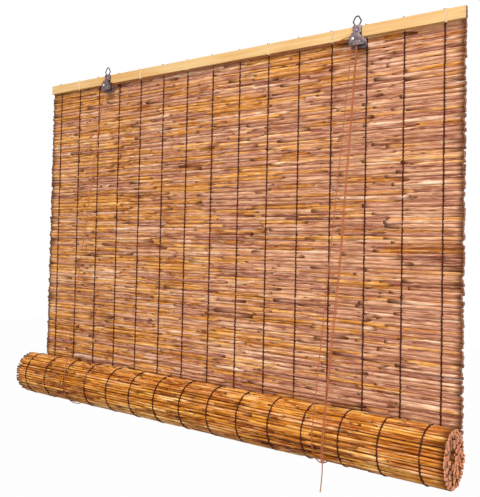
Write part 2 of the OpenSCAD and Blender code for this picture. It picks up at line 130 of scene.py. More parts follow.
# Fresh planed pine is pale yellow. Grain lines about 2 mm apart run the length of the lath, with slow changes
# of tone every 150 mm. The faces that point along the lath are its darker, open end grain.
END_GRAIN_FACING = 0.8
planed_pine, tree, shader = finish_of("planed_pine")
grain = node(
    tree,
    "ShaderNodeTexNoise",
    {"Vector": object_place(tree, (7, 420, 420)), "Scale": 1.0, "Detail": 4.0, "Roughness": 0.6},
)
tone = node(tree, "ShaderNodeTexNoise", {"Vector": object_place(tree, (7, 30, 30)), "Scale": 1.0})
pale = node(
    tree,
    "ShaderNodeValToRGB",
    {"Fac": grain},
    stops=[(0.3, "#C99E60"), (0.5, "#D4B075"), (0.75, "#DEBD8B")],
)
drift = node(tree, "ShaderNodeValToRGB", {"Fac": tone}, stops=[(0.3, "#F3DCC0"), (0.65, "#FFFFFF")])
toned = node(
    tree, "ShaderNodeMix", {"Factor": 1.0, "A": pale, "B": drift}, data_type="RGBA", blend_type="MULTIPLY"
)
normal_x = node(
    tree, "ShaderNodeSeparateXYZ", {"Vector": node(tree, "ShaderNodeNewGeometry").node.outputs["Normal"]}
)
facing_out = node(tree, "ShaderNodeMath", {0: normal_x}, operation="ABSOLUTE")
end_grain = node(tree, "ShaderNodeMath", {0: facing_out, 1: END_GRAIN_FACING}, operation="GREATER_THAN")
lath_colour = node(
    tree, "ShaderNodeMix", {"Factor": end_grain, "A": toned, "B": linear("#8F5C38")}, data_type="RGBA"
)
relief = node(tree, "ShaderNodeBump", {"Height": grain, "Strength": 0.25, "Distance": 0.0003})
fill(tree, shader, {"Base Color": lath_colour, "Normal": relief, "Roughness": 0.55})


def refinish(piece, material):
    """Gives a piece one material in place of what it has."""
    piece.data.materials.clear()
    piece.data.materials.append(material)


# The CAD solid's shape is right as it is.
refinish(frame["nodes"]["head_batten"], planed_pine)

# Bottom lath. The same planed pine, tied to the mat's lower end to weigh it down.
# The mat is rolled up round it, so only its ends show, in the core of the roll.
refinish(frame["nodes"]["bottom_lath"], planed_pine)

# Reed mat. Split river reeds about 7 mm thick, cut to short lengths and laid end to end in courses.
# Each stem tapers, leans a little, overlaps its neighbour, and has a dark cut tip, partly painted shade, and
# an end face with painted shade in its hollow pith.
REED_R = 0.0036
COURSE_PITCH = 0.007
STEMS = 8
STEM_OVERLAP = 0.026
STEM_SIDES = 9
STEM_RINGS = 4
STEM_TAPER = 0.86

# Shares of a stem's radius: its bow, and the girth of its ends, pinched in the mat and cut square at the edge.
# The rings crowd towards the ends, so that the pinch is short.
STEM_BOW = 0.15
PINCHED = 0.6
CUT_SQUARE = 1.0
RING_CROWDING = 3.3

# How far stems differ: their girth, the place of a joint as a share of a stem, how far they stand out of or
# slip along the mat, and how far they slope up or skew outwards, in radians.
GIRTHS = (0.8, 1.14)
JOINT_SHIFT = 0.4
STAND_PROUD = 0.0007
SLIP = 0.0014
SLOPE = 0.009
SKEW = 0.004

# A joint's number is its course's times JOINTS_APART, plus its own. A joint further from the middle than
# EDGE_SHARE of the width is the mat's edge, and a ring beyond END_SHARE of a stem's half length is its end.
JOINTS_APART = 64.0
EDGE_SHARE = 0.499
END_SHARE = 0.99


def new_tree(name, **sockets):
    """A Geometry Nodes tree with geometry in and out and the named inputs, and the sockets of those inputs."""
    made = bpy.data.node_groups.new(name, "GeometryNodeTree")
    made.interface.new_socket("Geometry", in_out="INPUT", socket_type="NodeSocketGeometry")
    made.interface.new_socket("Geometry", in_out="OUTPUT", socket_type="NodeSocketGeometry")
    for label, kind in sockets.items():
        made.interface.new_socket(label, in_out="INPUT", socket_type="NodeSocket" + kind)
    return made, made.nodes.new("NodeGroupInput").outputs


def put_out(tree, given, shape):
    """Ends a tree: its shape as real geometry with the given material."""
    real = node(tree, "GeometryNodeRealizeInstances", {"Geometry": shape})
    dressed = node(tree, "GeometryNodeSetMaterial", {"Geometry": real, "Material": given["Material"]})
    node(tree, "NodeGroupOutput", {"Geometry": dressed})


def in_scene(name, data):
    """A new object of the scene with that data."""
    made = bpy.data.objects.new(name, data)
    bpy.context.scene.collection.objects.link(made)
    return made


def run_modifiers(piece):
    """A new mesh: the piece's own with its modifiers run."""
    return bpy.data.meshes.new_from_object(piece.evaluated_get(bpy.context.evaluated_depsgraph_get()))


def grow(name, base, tree, **values):
    """Runs a tree on a base mesh with those input values, and returns the result as a plain mesh object."""
    seed_object = in_scene(name + "_base", base)
    modifier = seed_object.modifiers.new(name, "NODES")
    modifier.node_group = tree
    for item in tree.interface.items_tree:
        if item.in_out == "INPUT" and item.name in values:
            modifier[item.identifier] = values[item.name]
    mesh = run_modifiers(seed_object)
    bpy.data.objects.remove(seed_object)
    return in_scene(name, mesh)


def stem_end(tree, given, course, number, side):
    """Where a stem ends along X. Neighbours share a joint, and a course's ends stay inside the mat's edge."""
    share = node(tree, "ShaderNodeMath", {0: number, 1: given["Stems"]}, operation="DIVIDE")
    centred = node(tree, "ShaderNodeMath", {0: share, 1: 0.5}, operation="SUBTRACT")
    reach = node(tree, "ShaderNodeMath", {0: centred}, operation="ABSOLUTE")
    at_edge = node(tree, "ShaderNodeMath", {0: reach, 1: EDGE_SHARE}, operation="GREATER_THAN")
    joint = node(tree, "ShaderNodeMath", {0: course, 1: JOINTS_APART, 2: number}, operation="MULTIPLY_ADD")
    drawn = {"ID": joint, "Seed": given["Seed"]}
    shift = node(
        tree, "FunctionNodeRandomValue", {"Min": -JOINT_SHIFT, "Max": JOINT_SHIFT, **drawn}, data_type="FLOAT"
    )
    uncut = node(tree, "FunctionNodeRandomValue", {"Min": 0.0, "Max": 1.0, **drawn}, data_type="FLOAT")
    stem_share = node(tree, "ShaderNodeMath", {0: given["Width"], 1: given["Stems"]}, operation="DIVIDE")
    shifted = node(tree, "ShaderNodeMath", {0: shift, 1: stem_share}, operation="MULTIPLY")
    inner = node(
        tree, "ShaderNodeMath", {0: given["Overlap"], 1: side * 0.5, 2: shifted}, operation="MULTIPLY_ADD"
    )
    short = node(tree, "ShaderNodeMath", {0: uncut, 1: 2.0}, operation="POWER")
    ragged = node(tree, "ShaderNodeMath", {0: given["Ragged ends"], 1: short}, operation="MULTIPLY")
    recess = node(tree, "GeometryNodeInputNamedAttribute", {"Name": "recess"}, data_type="FLOAT")
    stops_short = node(tree, "ShaderNodeMath", {0: ragged, 1: recess}, operation="ADD")
    outer = node(tree, "ShaderNodeMath", {0: stops_short, 1: -side}, operation="MULTIPLY")
    change = node(tree, "ShaderNodeMix", {"Factor": at_edge, "A": inner, "B": outer}, data_type="FLOAT")
    return node(
        tree, "ShaderNodeMath", {0: centred, 1: given["Width"], 2: change}, operation="MULTIPLY_ADD"
    )


def stem_shape(tree, end_girth):
    """One stem of unit size along X: slightly bowed, tapered, with its two ends thinned to that share."""
    cylinder = node(
        tree,
        "GeometryNodeMeshCylinder",
        {"Vertices": STEM_SIDES, "Side Segments": STEM_RINGS, "Radius": 1.0, "Depth": 1.0},
        fill_type="TRIANGLE_FAN",
    )
    spot = node(tree, "GeometryNodeInputPosition")
    flat_spot = node(tree, "ShaderNodeVectorMath", {0: spot, 1: (1, 1, 0)}, operation="MULTIPLY")
    radial = node(tree, "ShaderNodeVectorMath", {0: flat_spot}, operation="LENGTH").node.outputs["Value"]
    height = node(tree, "ShaderNodeSeparateXYZ", {"Vector": spot}).node.outputs["Z"]
    from_middle = node(tree, "ShaderNodeMath", {0: height}, operation="ABSOLUTE")
    apart = node(tree, "ShaderNodeMath", {0: from_middle, 1: 2.0}, operation="MULTIPLY")
    to_end = node(tree, "ShaderNodeMath", {0: 1.0, 1: apart}, operation="SUBTRACT")
    crowded = node(tree, "ShaderNodeMath", {0: to_end, 1: RING_CROWDING}, operation="POWER")
    pushed = node(tree, "ShaderNodeMath", {0: crowded, 1: -0.5, 2: 0.5}, operation="MULTIPLY_ADD")
    end_sign = node(tree, "ShaderNodeMath", {0: height}, operation="SIGN")
    ring_z = node(tree, "ShaderNodeMath", {0: pushed, 1: end_sign}, operation="MULTIPLY")
    along = node(tree, "ShaderNodeMath", {0: ring_z, 1: 0.5}, operation="ADD")
    taper = node(tree, "ShaderNodeMapRange", {"Value": along, "To Min": 1.0, "To Max": STEM_TAPER})
    at_end = node(tree, "ShaderNodeMath", {0: apart, 1: END_SHARE}, operation="GREATER_THAN")
    pinch = node(tree, "ShaderNodeMath", {0: at_end, 1: end_girth - 1.0, 2: 1.0}, operation="MULTIPLY_ADD")
    girth = node(tree, "ShaderNodeMath", {0: taper, 1: pinch}, operation="MULTIPLY")
    slim = node(tree, "ShaderNodeVectorMath", {0: flat_spot, "Scale": girth}, operation="SCALE")
    bulge = node(tree, "ShaderNodeMath", {0: ring_z, 1: ring_z}, operation="MULTIPLY")
    bow = node(tree, "ShaderNodeMath", {0: bulge, 1: -4 * STEM_BOW, 2: STEM_BOW}, operation="MULTIPLY_ADD")
    bowed = node(
        tree,
        "ShaderNodeVectorMath",
        {0: slim, 1: node(tree, "ShaderNodeCombineXYZ", {"X": bow, "Z": ring_z})},
        operation="ADD",
    )
    stem = cylinder
    for label, value in (("radial", radial), ("along", along)):
        stem = node(
            tree,
            "GeometryNodeStoreNamedAttribute",
            {"Geometry": stem, "Name": label, "Value": value},
            data_type="FLOAT",
            domain="POINT",
        )
    tapered = node(tree, "GeometryNodeSetPosition", {"Geometry": stem, "Position": bowed})
    smooth = node(
        tree, "GeometryNodeSetShadeSmooth", {"Geometry": tapered, "Selection": cylinder.node.outputs["Side"]}
    )
    return node(tree, "GeometryNodeTransform", {"Geometry": smooth, "Rotation": (0, math.pi / 2, 0)})


# Each course is one point. It becomes a point for each stem, with the stem's length and chance values.
reed_courses, given = new_tree(
    "reed_courses",
    **{"Width": "Float", "Stems": "Int", "Stem radius": "Float", "Ragged ends": "Float", "Overlap": "Float"},
    Seed="Int",
    Material="Material",
)
tree = reed_courses
numbered = node(
    tree,
    "GeometryNodeStoreNamedAttribute",
    {"Geometry": given["Geometry"], "Name": "course", "Value": node(tree, "GeometryNodeInputIndex")},
    data_type="INT",
    domain="POINT",
)
stems = node(
    tree, "GeometryNodeDuplicateElements", {"Geometry": numbered, "Amount": given["Stems"]}, domain="POINT"
)
stem_number = stems.node.outputs["Duplicate Index"]
course = node(tree, "GeometryNodeInputNamedAttribute", {"Name": "course"}, data_type="INT")
next_number = node(tree, "ShaderNodeMath", {0: stem_number, 1: 1.0}, operation="ADD")
left_end = stem_end(tree, given, course, stem_number, -1.0)
right_end = stem_end(tree, given, course, next_number, 1.0)
stem_length = node(tree, "ShaderNodeMath", {0: right_end, 1: left_end}, operation="SUBTRACT")
both_ends = node(tree, "ShaderNodeMath", {0: right_end, 1: left_end}, operation="ADD")
stem_middle = node(tree, "ShaderNodeMath", {0: both_ends, 1: 0.5}, operation="MULTIPLY")
chance = node(
    tree,
    "FunctionNodeRandomValue",
    {"Min": (0, 0, 0), "Max": (1, 1, 1), "Seed": given["Seed"]},
    data_type="FLOAT_VECTOR",
)
for label, value, kind in (
    ("stem", stem_number, "INT"),
    ("reed_length", stem_length, "FLOAT"),
    ("reed_chance", chance, "FLOAT_VECTOR"),
):
    stems = node(
        tree,
        "GeometryNodeStoreNamedAttribute",
        {"Geometry": stems, "Name": label, "Value": value},
        data_type=kind,
        domain="POINT",
    )

# The stems move to their places, and each stands a little proud and slips a little out of its course.
outward = node(tree, "GeometryNodeInputNamedAttribute", {"Name": "outward"}, data_type="FLOAT_VECTOR")
proud = node(
    tree,
    "FunctionNodeRandomValue",
    {"Min": -STAND_PROUD, "Max": STAND_PROUD, "Seed": given["Seed"]},
    data_type="FLOAT",
)
stand = node(tree, "ShaderNodeVectorMath", {0: outward, "Scale": proud}, operation="SCALE")
slip = node(
    tree, "FunctionNodeRandomValue", {"Min": -SLIP, "Max": SLIP, "Seed": given["Seed"]}, data_type="FLOAT"
)
sideways = node(tree, "ShaderNodeVectorMath", {0: (1, 0, 0), 1: outward}, operation="CROSS_PRODUCT")
slipped = node(tree, "ShaderNodeVectorMath", {0: sideways, "Scale": slip}, operation="SCALE")
loose = node(tree, "ShaderNodeVectorMath", {0: stand, 1: slipped}, operation="ADD")
along_course = node(tree, "ShaderNodeCombineXYZ", {"X": stem_middle})
offset = node(tree, "ShaderNodeVectorMath", {0: loose, 1: along_course}, operation="ADD")
placed = node(tree, "GeometryNodeSetPosition", {"Geometry": stems, "Offset": offset})

# Each leans, is turned about its length, and points its thick end left or right.
lean = node(
    tree,
    "FunctionNodeRandomValue",
    {"Min": (0, -SLOPE, -SKEW), "Max": (math.tau, SLOPE, SKEW), "Seed": given["Seed"]},
    data_type="FLOAT_VECTOR",
)
turned_chance = node(
    tree, "FunctionNodeRandomValue", {"Min": 0, "Max": 1, "Seed": given["Seed"]}, data_type="INT"
)
turned = node(tree, "ShaderNodeMath", {0: turned_chance, 1: math.pi}, operation="MULTIPLY")
turn = node(
    tree,
    "ShaderNodeVectorMath",
    {0: lean, 1: node(tree, "ShaderNodeCombineXYZ", {"Z": turned})},
    operation="ADD",
)
thick = node(
    tree,
    "FunctionNodeRandomValue",
    {"Min": GIRTHS[0], "Max": GIRTHS[1], "Seed": given["Seed"]},
    data_type="FLOAT",
)
course_girth = node(tree, "GeometryNodeInputNamedAttribute", {"Name": "girth"}, data_type="FLOAT")
own_girth = node(tree, "ShaderNodeMath", {0: thick, 1: course_girth}, operation="MULTIPLY")
stem_radius = node(tree, "ShaderNodeMath", {0: own_girth, 1: given["Stem radius"]}, operation="MULTIPLY")
kept_length = node(tree, "GeometryNodeInputNamedAttribute", {"Name": "reed_length"}, data_type="FLOAT")
size = node(tree, "ShaderNodeCombineXYZ", {"X": kept_length, "Y": stem_radius, "Z": stem_radius})

# The first and last stems of a course have square ends, and the others have pinched ones.
laid = node(tree, "GeometryNodeJoinGeometry")
last_stem = node(tree, "ShaderNodeMath", {0: given["Stems"], 1: 1.0}, operation="SUBTRACT")
kept_number = node(tree, "GeometryNodeInputNamedAttribute", {"Name": "stem"}, data_type="INT")
half_way = node(tree, "ShaderNodeMath", {0: last_stem, 1: 0.5}, operation="MULTIPLY")
off_centre = node(tree, "ShaderNodeMath", {0: kept_number, 1: half_way}, operation="SUBTRACT")
reach = node(tree, "ShaderNodeMath", {0: off_centre}, operation="ABSOLUTE")
last_reach = node(tree, "ShaderNodeMath", {0: half_way, 1: 0.5}, operation="SUBTRACT")
inside = node(tree, "FunctionNodeCompare", {"A": reach, "B": last_reach}, operation="LESS_THAN")
at_edge = node(tree, "FunctionNodeBooleanMath", {0: inside}, operation="NOT")
for chosen, end_girth in ((inside, PINCHED), (at_edge, CUT_SQUARE)):
    shape = {"Instance": stem_shape(tree, end_girth), "Rotation": turn, "Scale": size}
    stems_of_kind = node(
        tree, "GeometryNodeInstanceOnPoints", {"Points": placed, "Selection": chosen, **shape}
    )
    tree.links.new(stems_of_kind, laid.node.inputs["Geometry"])
put_out(tree, given, laid)

# Reed is split, steamed and stained. Steam leaves the mat's face golden to rosy brown, with a dull gloss, and
# the back, which the roll shows, a deeper gold. A stem's tone and hue come from its own chance and from its
# patch of the mat. Each pattern starts at one value of its noise and is full at another, where it covers a
# share of what is under it. Sizes along a stem are in metres.
# Dark cut tips: partly the reed's own stain and partly painted shade where stems meet.
BUTT_STAIN_AND_SHADE = 0.01
BUTT_STAIN_AND_SHADE_MORE = 0.045
THIN_END_STAIN_AND_SHADE = 0.014
JOINT_RING_SPACING = 0.11
JOINT_RING_SHARE = 0.012
END_FACE_DEPTH = 0.0005
OWN_TONE = 0.7
TONE_DOWN = 0.02
PATCH_TONE = 0.4
PATCH_HUE = 0.8
ROSY_HUES = {"From Min": 0.75, "From Max": 1.05}
STREAK_SHARE = 0.9
# Painted highlight: how far pale glint streaks cover a stem.
PAINTED_GLINT_STREAKS = {"From Min": 0.54, "From Max": 0.68, "To Max": 0.6}
STAIN_BLOTCH = {"From Min": 0.52, "From Max": 0.75, "To Max": 0.65}
# How many end faces are dark all over.
DARK_END_FACES = {"From Min": 0.55, "From Max": 0.85, "To Max": 0.55}


def reed_finish(name, golden_stops, rosy_stops, spread, stain, tip, end_face, painted_glint, gloss, lean):
    """Dry, stained reed: each stem has its own tone, fine streaks, painted glint highlights, joint rings, and
    dark cut tips that are partly painted shade.
    """
    made, tree, shader = finish_of(name)
    chance = node(tree, "ShaderNodeAttribute", attribute_name="reed_chance").node.outputs["Vector"]
    parts = node(tree, "ShaderNodeSeparateXYZ", {"Vector": chance}).node.outputs
    along = node(tree, "ShaderNodeAttribute", attribute_name="along").node.outputs["Fac"]
    length = node(tree, "ShaderNodeAttribute", attribute_name="reed_length").node.outputs["Fac"]
    radial = node(tree, "ShaderNodeAttribute", attribute_name="radial").node.outputs["Fac"]

    # Changes of tone every 40 mm or so, and patches of like stems about 100 mm wide, move a stem up or down
    # its range of colours. Its hue leans to golden or rosy, and shifts across the mat's width by the given
    # lean: on the hanging mat this is painted haze of the light, rosier towards the right, and the roll turns
    # more golden towards its left.
    drift = node(
        tree, "ShaderNodeTexNoise", {"Vector": object_place(tree, (25, 130, 130)), "Scale": 1.0, "Detail": 2.0}
    )
    patch = node(tree, "ShaderNodeTexNoise", {"Vector": object_place(tree, (10, 24, 24)), "Scale": 1.0})
    lowered = -TONE_DOWN - spread / 2
    moved = node(tree, "ShaderNodeMath", {0: drift, 1: spread, 2: lowered}, operation="MULTIPLY_ADD")
    patched = node(tree, "ShaderNodeMath", {0: patch, 1: PATCH_TONE, 2: moved}, operation="MULTIPLY_ADD")
    picked = node(tree, "ShaderNodeMath", {0: parts["X"], 1: OWN_TONE, 2: patched}, operation="MULTIPLY_ADD")
    hue = node(tree, "ShaderNodeMath", {0: patch, 1: PATCH_HUE, 2: parts["Y"]}, operation="MULTIPLY_ADD")
    place = node(tree, "ShaderNodeTexCoord").node.outputs["Object"]
    across = node(tree, "ShaderNodeSeparateXYZ", {"Vector": place})
    # A hue shift across the width. On the hanging mat, the rosier right side is painted haze of the light
    # there.
    to_right = node(
        tree,
        "ShaderNodeMapRange",
        {"Value": across, "From Min": -0.5, "From Max": 0.5, "To Min": lean[0], "To Max": lean[1]},
    )
    hue_here = node(tree, "ShaderNodeMath", {0: hue, 1: to_right}, operation="ADD")
    leaning = node(tree, "ShaderNodeMapRange", {"Value": hue_here, **ROSY_HUES})
    golden = node(tree, "ShaderNodeValToRGB", {"Fac": picked}, stops=golden_stops)
    rosy = node(tree, "ShaderNodeValToRGB", {"Fac": picked}, stops=rosy_stops)
    stem = node(tree, "ShaderNodeMix", {"Factor": leaning, "A": golden, "B": rosy}, data_type="RGBA")

    # Dark streaks about 1.2 mm wide and 28 mm long.
    streak = node(
        tree, "ShaderNodeTexNoise", {"Vector": object_place(tree, (36, 820, 820)), "Scale": 1.0, "Detail": 3.0}
    )
    shade = node(
        tree,
        "ShaderNodeValToRGB",
        {"Fac": streak},
        stops=[(0.3, "#7A4422"), (0.42, "#CDB090"), (0.52, "#F4EAE0"), (0.7, "#FFFFFF")],
    )
    streaked = node(
        tree,
        "ShaderNodeMix",
        {"Factor": STREAK_SHARE, "A": stem, "B": shade},
        data_type="RGBA",
        blend_type="MULTIPLY",
    )

    # Painted highlight: pale glint streaks on the shiny skin, 20 mm long and 1 mm wide. Then blotches of stain
    # about 40 mm long.
    painted_glint_noise = node(
        tree, "ShaderNodeTexNoise", {"Vector": object_place(tree, (50, 950, 950)), "Scale": 1.0, "Detail": 2.0}
    )
    blotch = node(
        tree, "ShaderNodeTexNoise", {"Vector": object_place(tree, (25, 170, 170)), "Scale": 1.0, "Detail": 2.0}
    )
    stained = streaked
    for pattern, extent, colour in ((painted_glint_noise, PAINTED_GLINT_STREAKS, painted_glint), (blotch, STAIN_BLOTCH, stain)):
        amount = node(tree, "ShaderNodeMapRange", {"Value": pattern, **extent})
        stained = node(
            tree, "ShaderNodeMix", {"Factor": amount, "A": stained, "B": linear(colour)}, data_type="RGBA"
        )

    # The butt end's dark tip fades over 10 to 55 mm, and the thin end's over 14 mm. It is partly the reed's
    # own stain at its cut ends and partly painted shade of the hollows where stems meet.
    from_butt = node(tree, "ShaderNodeMath", {0: along, 1: length}, operation="MULTIPLY")
    from_thin = node(tree, "ShaderNodeMath", {0: length, 1: from_butt}, operation="SUBTRACT")
    reach = node(tree, "ShaderNodeMath", {0: parts["Z"], 1: 3.0}, operation="POWER")
    butt_reach = node(
        tree, "ShaderNodeMath", {0: reach, 1: BUTT_STAIN_AND_SHADE_MORE, 2: BUTT_STAIN_AND_SHADE}, operation="MULTIPLY_ADD"
    )
    butt_dark = node(
        tree,
        "ShaderNodeMapRange",
        {"Value": from_butt, "From Max": butt_reach, "To Min": 1.0, "To Max": 0.0},
        interpolation_type="SMOOTHSTEP",
    )
    thin_dark = node(
        tree,
        "ShaderNodeMapRange",
        {"Value": from_thin, "From Max": THIN_END_STAIN_AND_SHADE, "To Min": 0.9, "To Max": 0.0},
        interpolation_type="SMOOTHSTEP",
    )
    either = node(tree, "ShaderNodeMath", {0: butt_dark, 1: thin_dark}, operation="MAXIMUM")
    patchy = node(
        tree, "ShaderNodeMapRange", {"Value": streak, "From Min": 0.3, "From Max": 0.6, "To Min": 0.7}
    )
    dark = node(tree, "ShaderNodeMath", {0: either, 1: patchy}, operation="MULTIPLY")
    tipped = node(tree, "ShaderNodeMix", {"Factor": dark, "A": stained, "B": linear(tip)}, data_type="RGBA")

    # A faint joint ring every 110 mm or so.
    rings = 1 / JOINT_RING_SPACING
    phase = node(tree, "ShaderNodeMath", {0: from_butt, 1: rings, 2: parts["Y"]}, operation="MULTIPLY_ADD")
    beat = node(tree, "ShaderNodeMath", {0: phase, 1: 0.5}, operation="PINGPONG")
    ring = node(
        tree,
        "ShaderNodeMapRange",
        {"Value": beat, "From Max": JOINT_RING_SHARE, "To Min": 0.25, "To Max": 0.0},
    )
    ringed = node(tree, "ShaderNodeMix", {"Factor": ring, "A": tipped, "B": linear(tip)}, data_type="RGBA")

    # The end faces are pinkish brown round a dark centre, painted shade in the hollow pith, and some are dark
    # all over.
    nearest = node(tree, "ShaderNodeMath", {0: from_butt, 1: from_thin}, operation="MINIMUM")
    on_face = node(tree, "ShaderNodeMath", {0: nearest, 1: END_FACE_DEPTH}, operation="LESS_THAN")
    face_stops = [(0.12, tip), (0.35, end_face), (0.9, end_face)]
    # Its dark centre is painted shade in the hollow pith.
    face = node(tree, "ShaderNodeValToRGB", {"Fac": radial}, stops=face_stops)
    darkened_face = node(tree, "ShaderNodeMapRange", {"Value": parts["Z"], **DARK_END_FACES})
    cut_face = node(tree, "ShaderNodeMix", {"Factor": darkened_face, "A": face, "B": linear(tip)}, data_type="RGBA")
    reed = node(tree, "ShaderNodeMix", {"Factor": on_face, "A": ringed, "B": cut_face}, data_type="RGBA")
    relief = node(tree, "ShaderNodeBump", {"Height": streak, "Strength": 0.3, "Distance": 0.0004})
    fill(tree, shader, {"Base Color": reed, "Normal": relief, "Roughness": 0.42})
    fill(tree, shader, {"Specular IOR Level": gloss, "Specular Tint": linear("#FFB26A")})
    return made


steamed_reed = reed_finish(
    "steamed_reed",
    [(0.0, "#844A18"), (0.18, "#B47026"), (0.36, "#CE8E3A"),
     (0.6, "#DC9C46"), (0.82, "#E8B064"), (1.0, "#F8D6A6")],
    [(0.0, "#6E3828"), (0.18, "#9E6654"), (0.36, "#B8826C"),
     (0.6, "#CC987A"), (0.82, "#DCAE90"), (1.0, "#F2D2BA")],
    spread=0.9,
    stain="#94584E",
    tip="#471E0A",
    end_face="#A67458",
    # The glint colour is painted highlight.
    painted_glint="#F8D2AA",
    gloss=0.2,
    # The hanging mat turns rosier towards its right: painted haze of the light on that side.
    lean=(-0.1, 0.35),
)
golden_reed = reed_finish(
    "golden_reed",
    [(0.0, "#682800"), (0.18, "#9C500A"), (0.36, "#C67A1C"),
     (0.56, "#DC932E"), (0.78, "#EEB152"), (1.0, "#FFD694")],
    [(0.0, "#622402"), (0.18, "#92420E"), (0.36, "#BA6A28"),
     (0.56, "#D0843E"), (0.78, "#E8A668"), (1.0, "#FDCE9E")],
    spread=1.1,
    stain="#84400A",
    tip="#3C1400",
    end_face="#FFA474",
    # The glint colour is painted highlight.
    painted_glint="#FFCB8A",
    gloss=0.32,
    lean=(-0.4, 0.05),
)

# The hanging mat fills its CAD solid's height with courses. A course faces the front at no turn about X.
panel_low, panel_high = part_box("reed_panel")
mat_w = 1.0
mat_x = joints["roll_turn"]["pos_m"][0]
mat_y = (panel_low.y + panel_high.y) / 2
top_course = panel_high.z - REED_R
last_course = panel_low.z + REED_R
courses = 1 + round((top_course - last_course) / COURSE_PITCH)
course_step = (top_course - last_course) / (courses - 1)
panel_z = [top_course - i * course_step for i in range(courses)]
FACING_FRONT = 0.0
FACING_BACK = math.pi
FACING_UP = -math.pi / 2


def course_points(name, courses, girths=None, recesses=None):
    """A mesh with one vertex per course, given as its y, z and turn about X.

    It keeps the way each course faces, its stems' girth and how far it stops short of the mat's edge.
    """
    mesh = bpy.data.meshes.new(name)
    mesh.from_pydata([(mat_x, y, z) for y, z, _ in courses], [], [])
    for label, values in (
        ("girth", girths or [1.0] * len(courses)),
        ("recess", recesses or [0.0] * len(courses)),
        ("turn", [a for _, _, a in courses]),
    ):
        mesh.attributes.new(label, "FLOAT", "POINT").data.foreach_set("value", values)
    outward = mesh.attributes.new("outward", "FLOAT_VECTOR", "POINT")
    outward.data.foreach_set("vector", [v for _, _, a in courses for v in (0, -math.cos(a), -math.sin(a))])
    return mesh


# More stems lie behind the grooves between the courses, so hardly any light comes through the mat.
# All stop a little short of the CAD solid's edge, and unevenly.
FILLER_BACK = 0.0014
PANEL_RECESS = 0.0035
PANEL_RAGGED = 0.004
panel_courses = [(mat_y, z, FACING_FRONT) for z in panel_z]
fillers = [(mat_y + FILLER_BACK, z - course_step / 2, FACING_FRONT) for z in panel_z[:-1]]

panel = grow(
    "panel_reeds",
    course_points(
        "panel_courses", panel_courses + fillers, recesses=[PANEL_RECESS] * len(panel_courses + fillers)
    ),
    reed_courses,
    **{"Width": mat_w, "Stems": STEMS, "Stem radius": REED_R, "Ragged ends": PANEL_RAGGED},
    Overlap=STEM_OVERLAP,
    Seed=7,
    Material=steamed_reed,
)
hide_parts("reed_panel")
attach(panel, "head")

# Each hanging piece is given a mesh of its own.
batten_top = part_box("head_batten")[1].z
roll_axis = Vector(joints["roll_turn"]["pos_m"])


def shorten(piece):
    """Gives a hanging piece a mesh of its own."""
    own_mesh(piece)


shorten(panel)

# Roll. The lower half of the same mat, wound towards the front, so its golden back shows outside.
# The courses follow the CAD solid's spiral, from the back of the outermost turn in to the lath. The first one
# lies just below the level of the roll's axis, under the hanging mat's last course.
ROLL_R = 0.046
TURN_PITCH = 0.0075
CORE_R = 0.01263
FIRST_BELOW_AXIS = 0.0038
FIRST_TURN = math.asin(FIRST_BELOW_AXIS / ROLL_R)


def spiral_courses(step, from_angle, to_angle, raised=0.0):
    """The angle and radius of courses a step apart along the spiral, between two angles from its start."""
    made = []
    angle = from_angle
    while angle < to_angle and ROLL_R - TURN_PITCH * angle / math.tau > CORE_R:
        radius = ROLL_R + raised - TURN_PITCH * angle / math.tau
        made.append((FIRST_TURN + angle, radius))
        angle += 2 * math.asin(step / 2 / radius)
    return made


def on_roll(angle, radius):
    """A course of the roll: its y, z and turn about X. The angle runs from the back downwards."""
    return roll_axis.y + radius * math.cos(angle), roll_axis.z - radius * math.sin(angle), math.pi - angle


# The outermost turn shows the backs of thin split stems. The inner turns are packed tight, and their ends lie
# at uneven depths. Thin stems lie behind the outermost turn's grooves: close behind them at the back, where
# the hanging mat goes over into the roll, and deeper down elsewhere.
ROLL_RAGGED = 0.0009
OUTER_GIRTH = 0.67
OUTER_STEP = 0.0051
INNER_GIRTH = 1.12
INNER_RECESSES = (0.0012, 0.003, 0.0018, 0.004, 0.0024)
PACKING_GIRTH = 0.6
PACKING_DEPTH = 0.0018
PACKING_RECESSES = (0.0006,)
PACKING_SWEEP = math.radians(100)
LINING_GIRTH = 0.7
LINING_DEPTH = 0.0036
LINING_RECESSES = (0.0009,)
outer_turn = spiral_courses(OUTER_STEP, 0.0, math.tau, REED_R * (1 - OUTER_GIRTH))
packing = spiral_courses(OUTER_STEP, OUTER_STEP / 2 / ROLL_R, PACKING_SWEEP, -PACKING_DEPTH)
lining = spiral_courses(OUTER_STEP, PACKING_SWEEP, math.tau, -LINING_DEPTH)
inner_turns = spiral_courses(course_step, math.tau, math.inf)

# Each layer's courses, the girth of its stems, and how far its courses stop short in turn.
roll_layers = (
    (outer_turn, OUTER_GIRTH, (0.0,)),
    (packing, PACKING_GIRTH, PACKING_RECESSES),
    (inner_turns, INNER_GIRTH, INNER_RECESSES),
    (lining, LINING_GIRTH, LINING_RECESSES),
)
roll = grow(
    "roll_reeds",
    course_points(
        "roll_courses",
        [on_roll(a, r) for layer in roll_layers for a, r in layer[0]],
        [girth for layer, girth, _ in roll_layers for _ in layer],
        [recesses[k % len(recesses)] for layer, _, recesses in roll_layers for k in range(len(layer))],
    ),
    reed_courses,
    **{"Width": mat_w, "Stems": STEMS, "Stem radius": REED_R, "Ragged ends": ROLL_RAGGED},
    Overlap=STEM_OVERLAP,
    Seed=23,
    Material=golden_reed,
)
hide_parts("reed_roll")
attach(roll, "roll")

# Warp threads. Dark brown waxed cotton, stitched in a chain round every course, front and back.
# Each stitch is a short flat arc over one reed, and the last one turns over the top reed.
WARPS = 15
WARP_INSET = 0.036
STITCH_T = 0.0014
STITCH_W = 0.0026
STITCH_REACH = math.radians(78)
STITCH_SLANT = math.radians(2)
STITCH_POINTS = 6
STRAND_SIDES = 6
WANDER = 0.0004
TUCK = 0.016
warp_step = (mat_w - 2 * WARP_INSET) / (WARPS - 1)

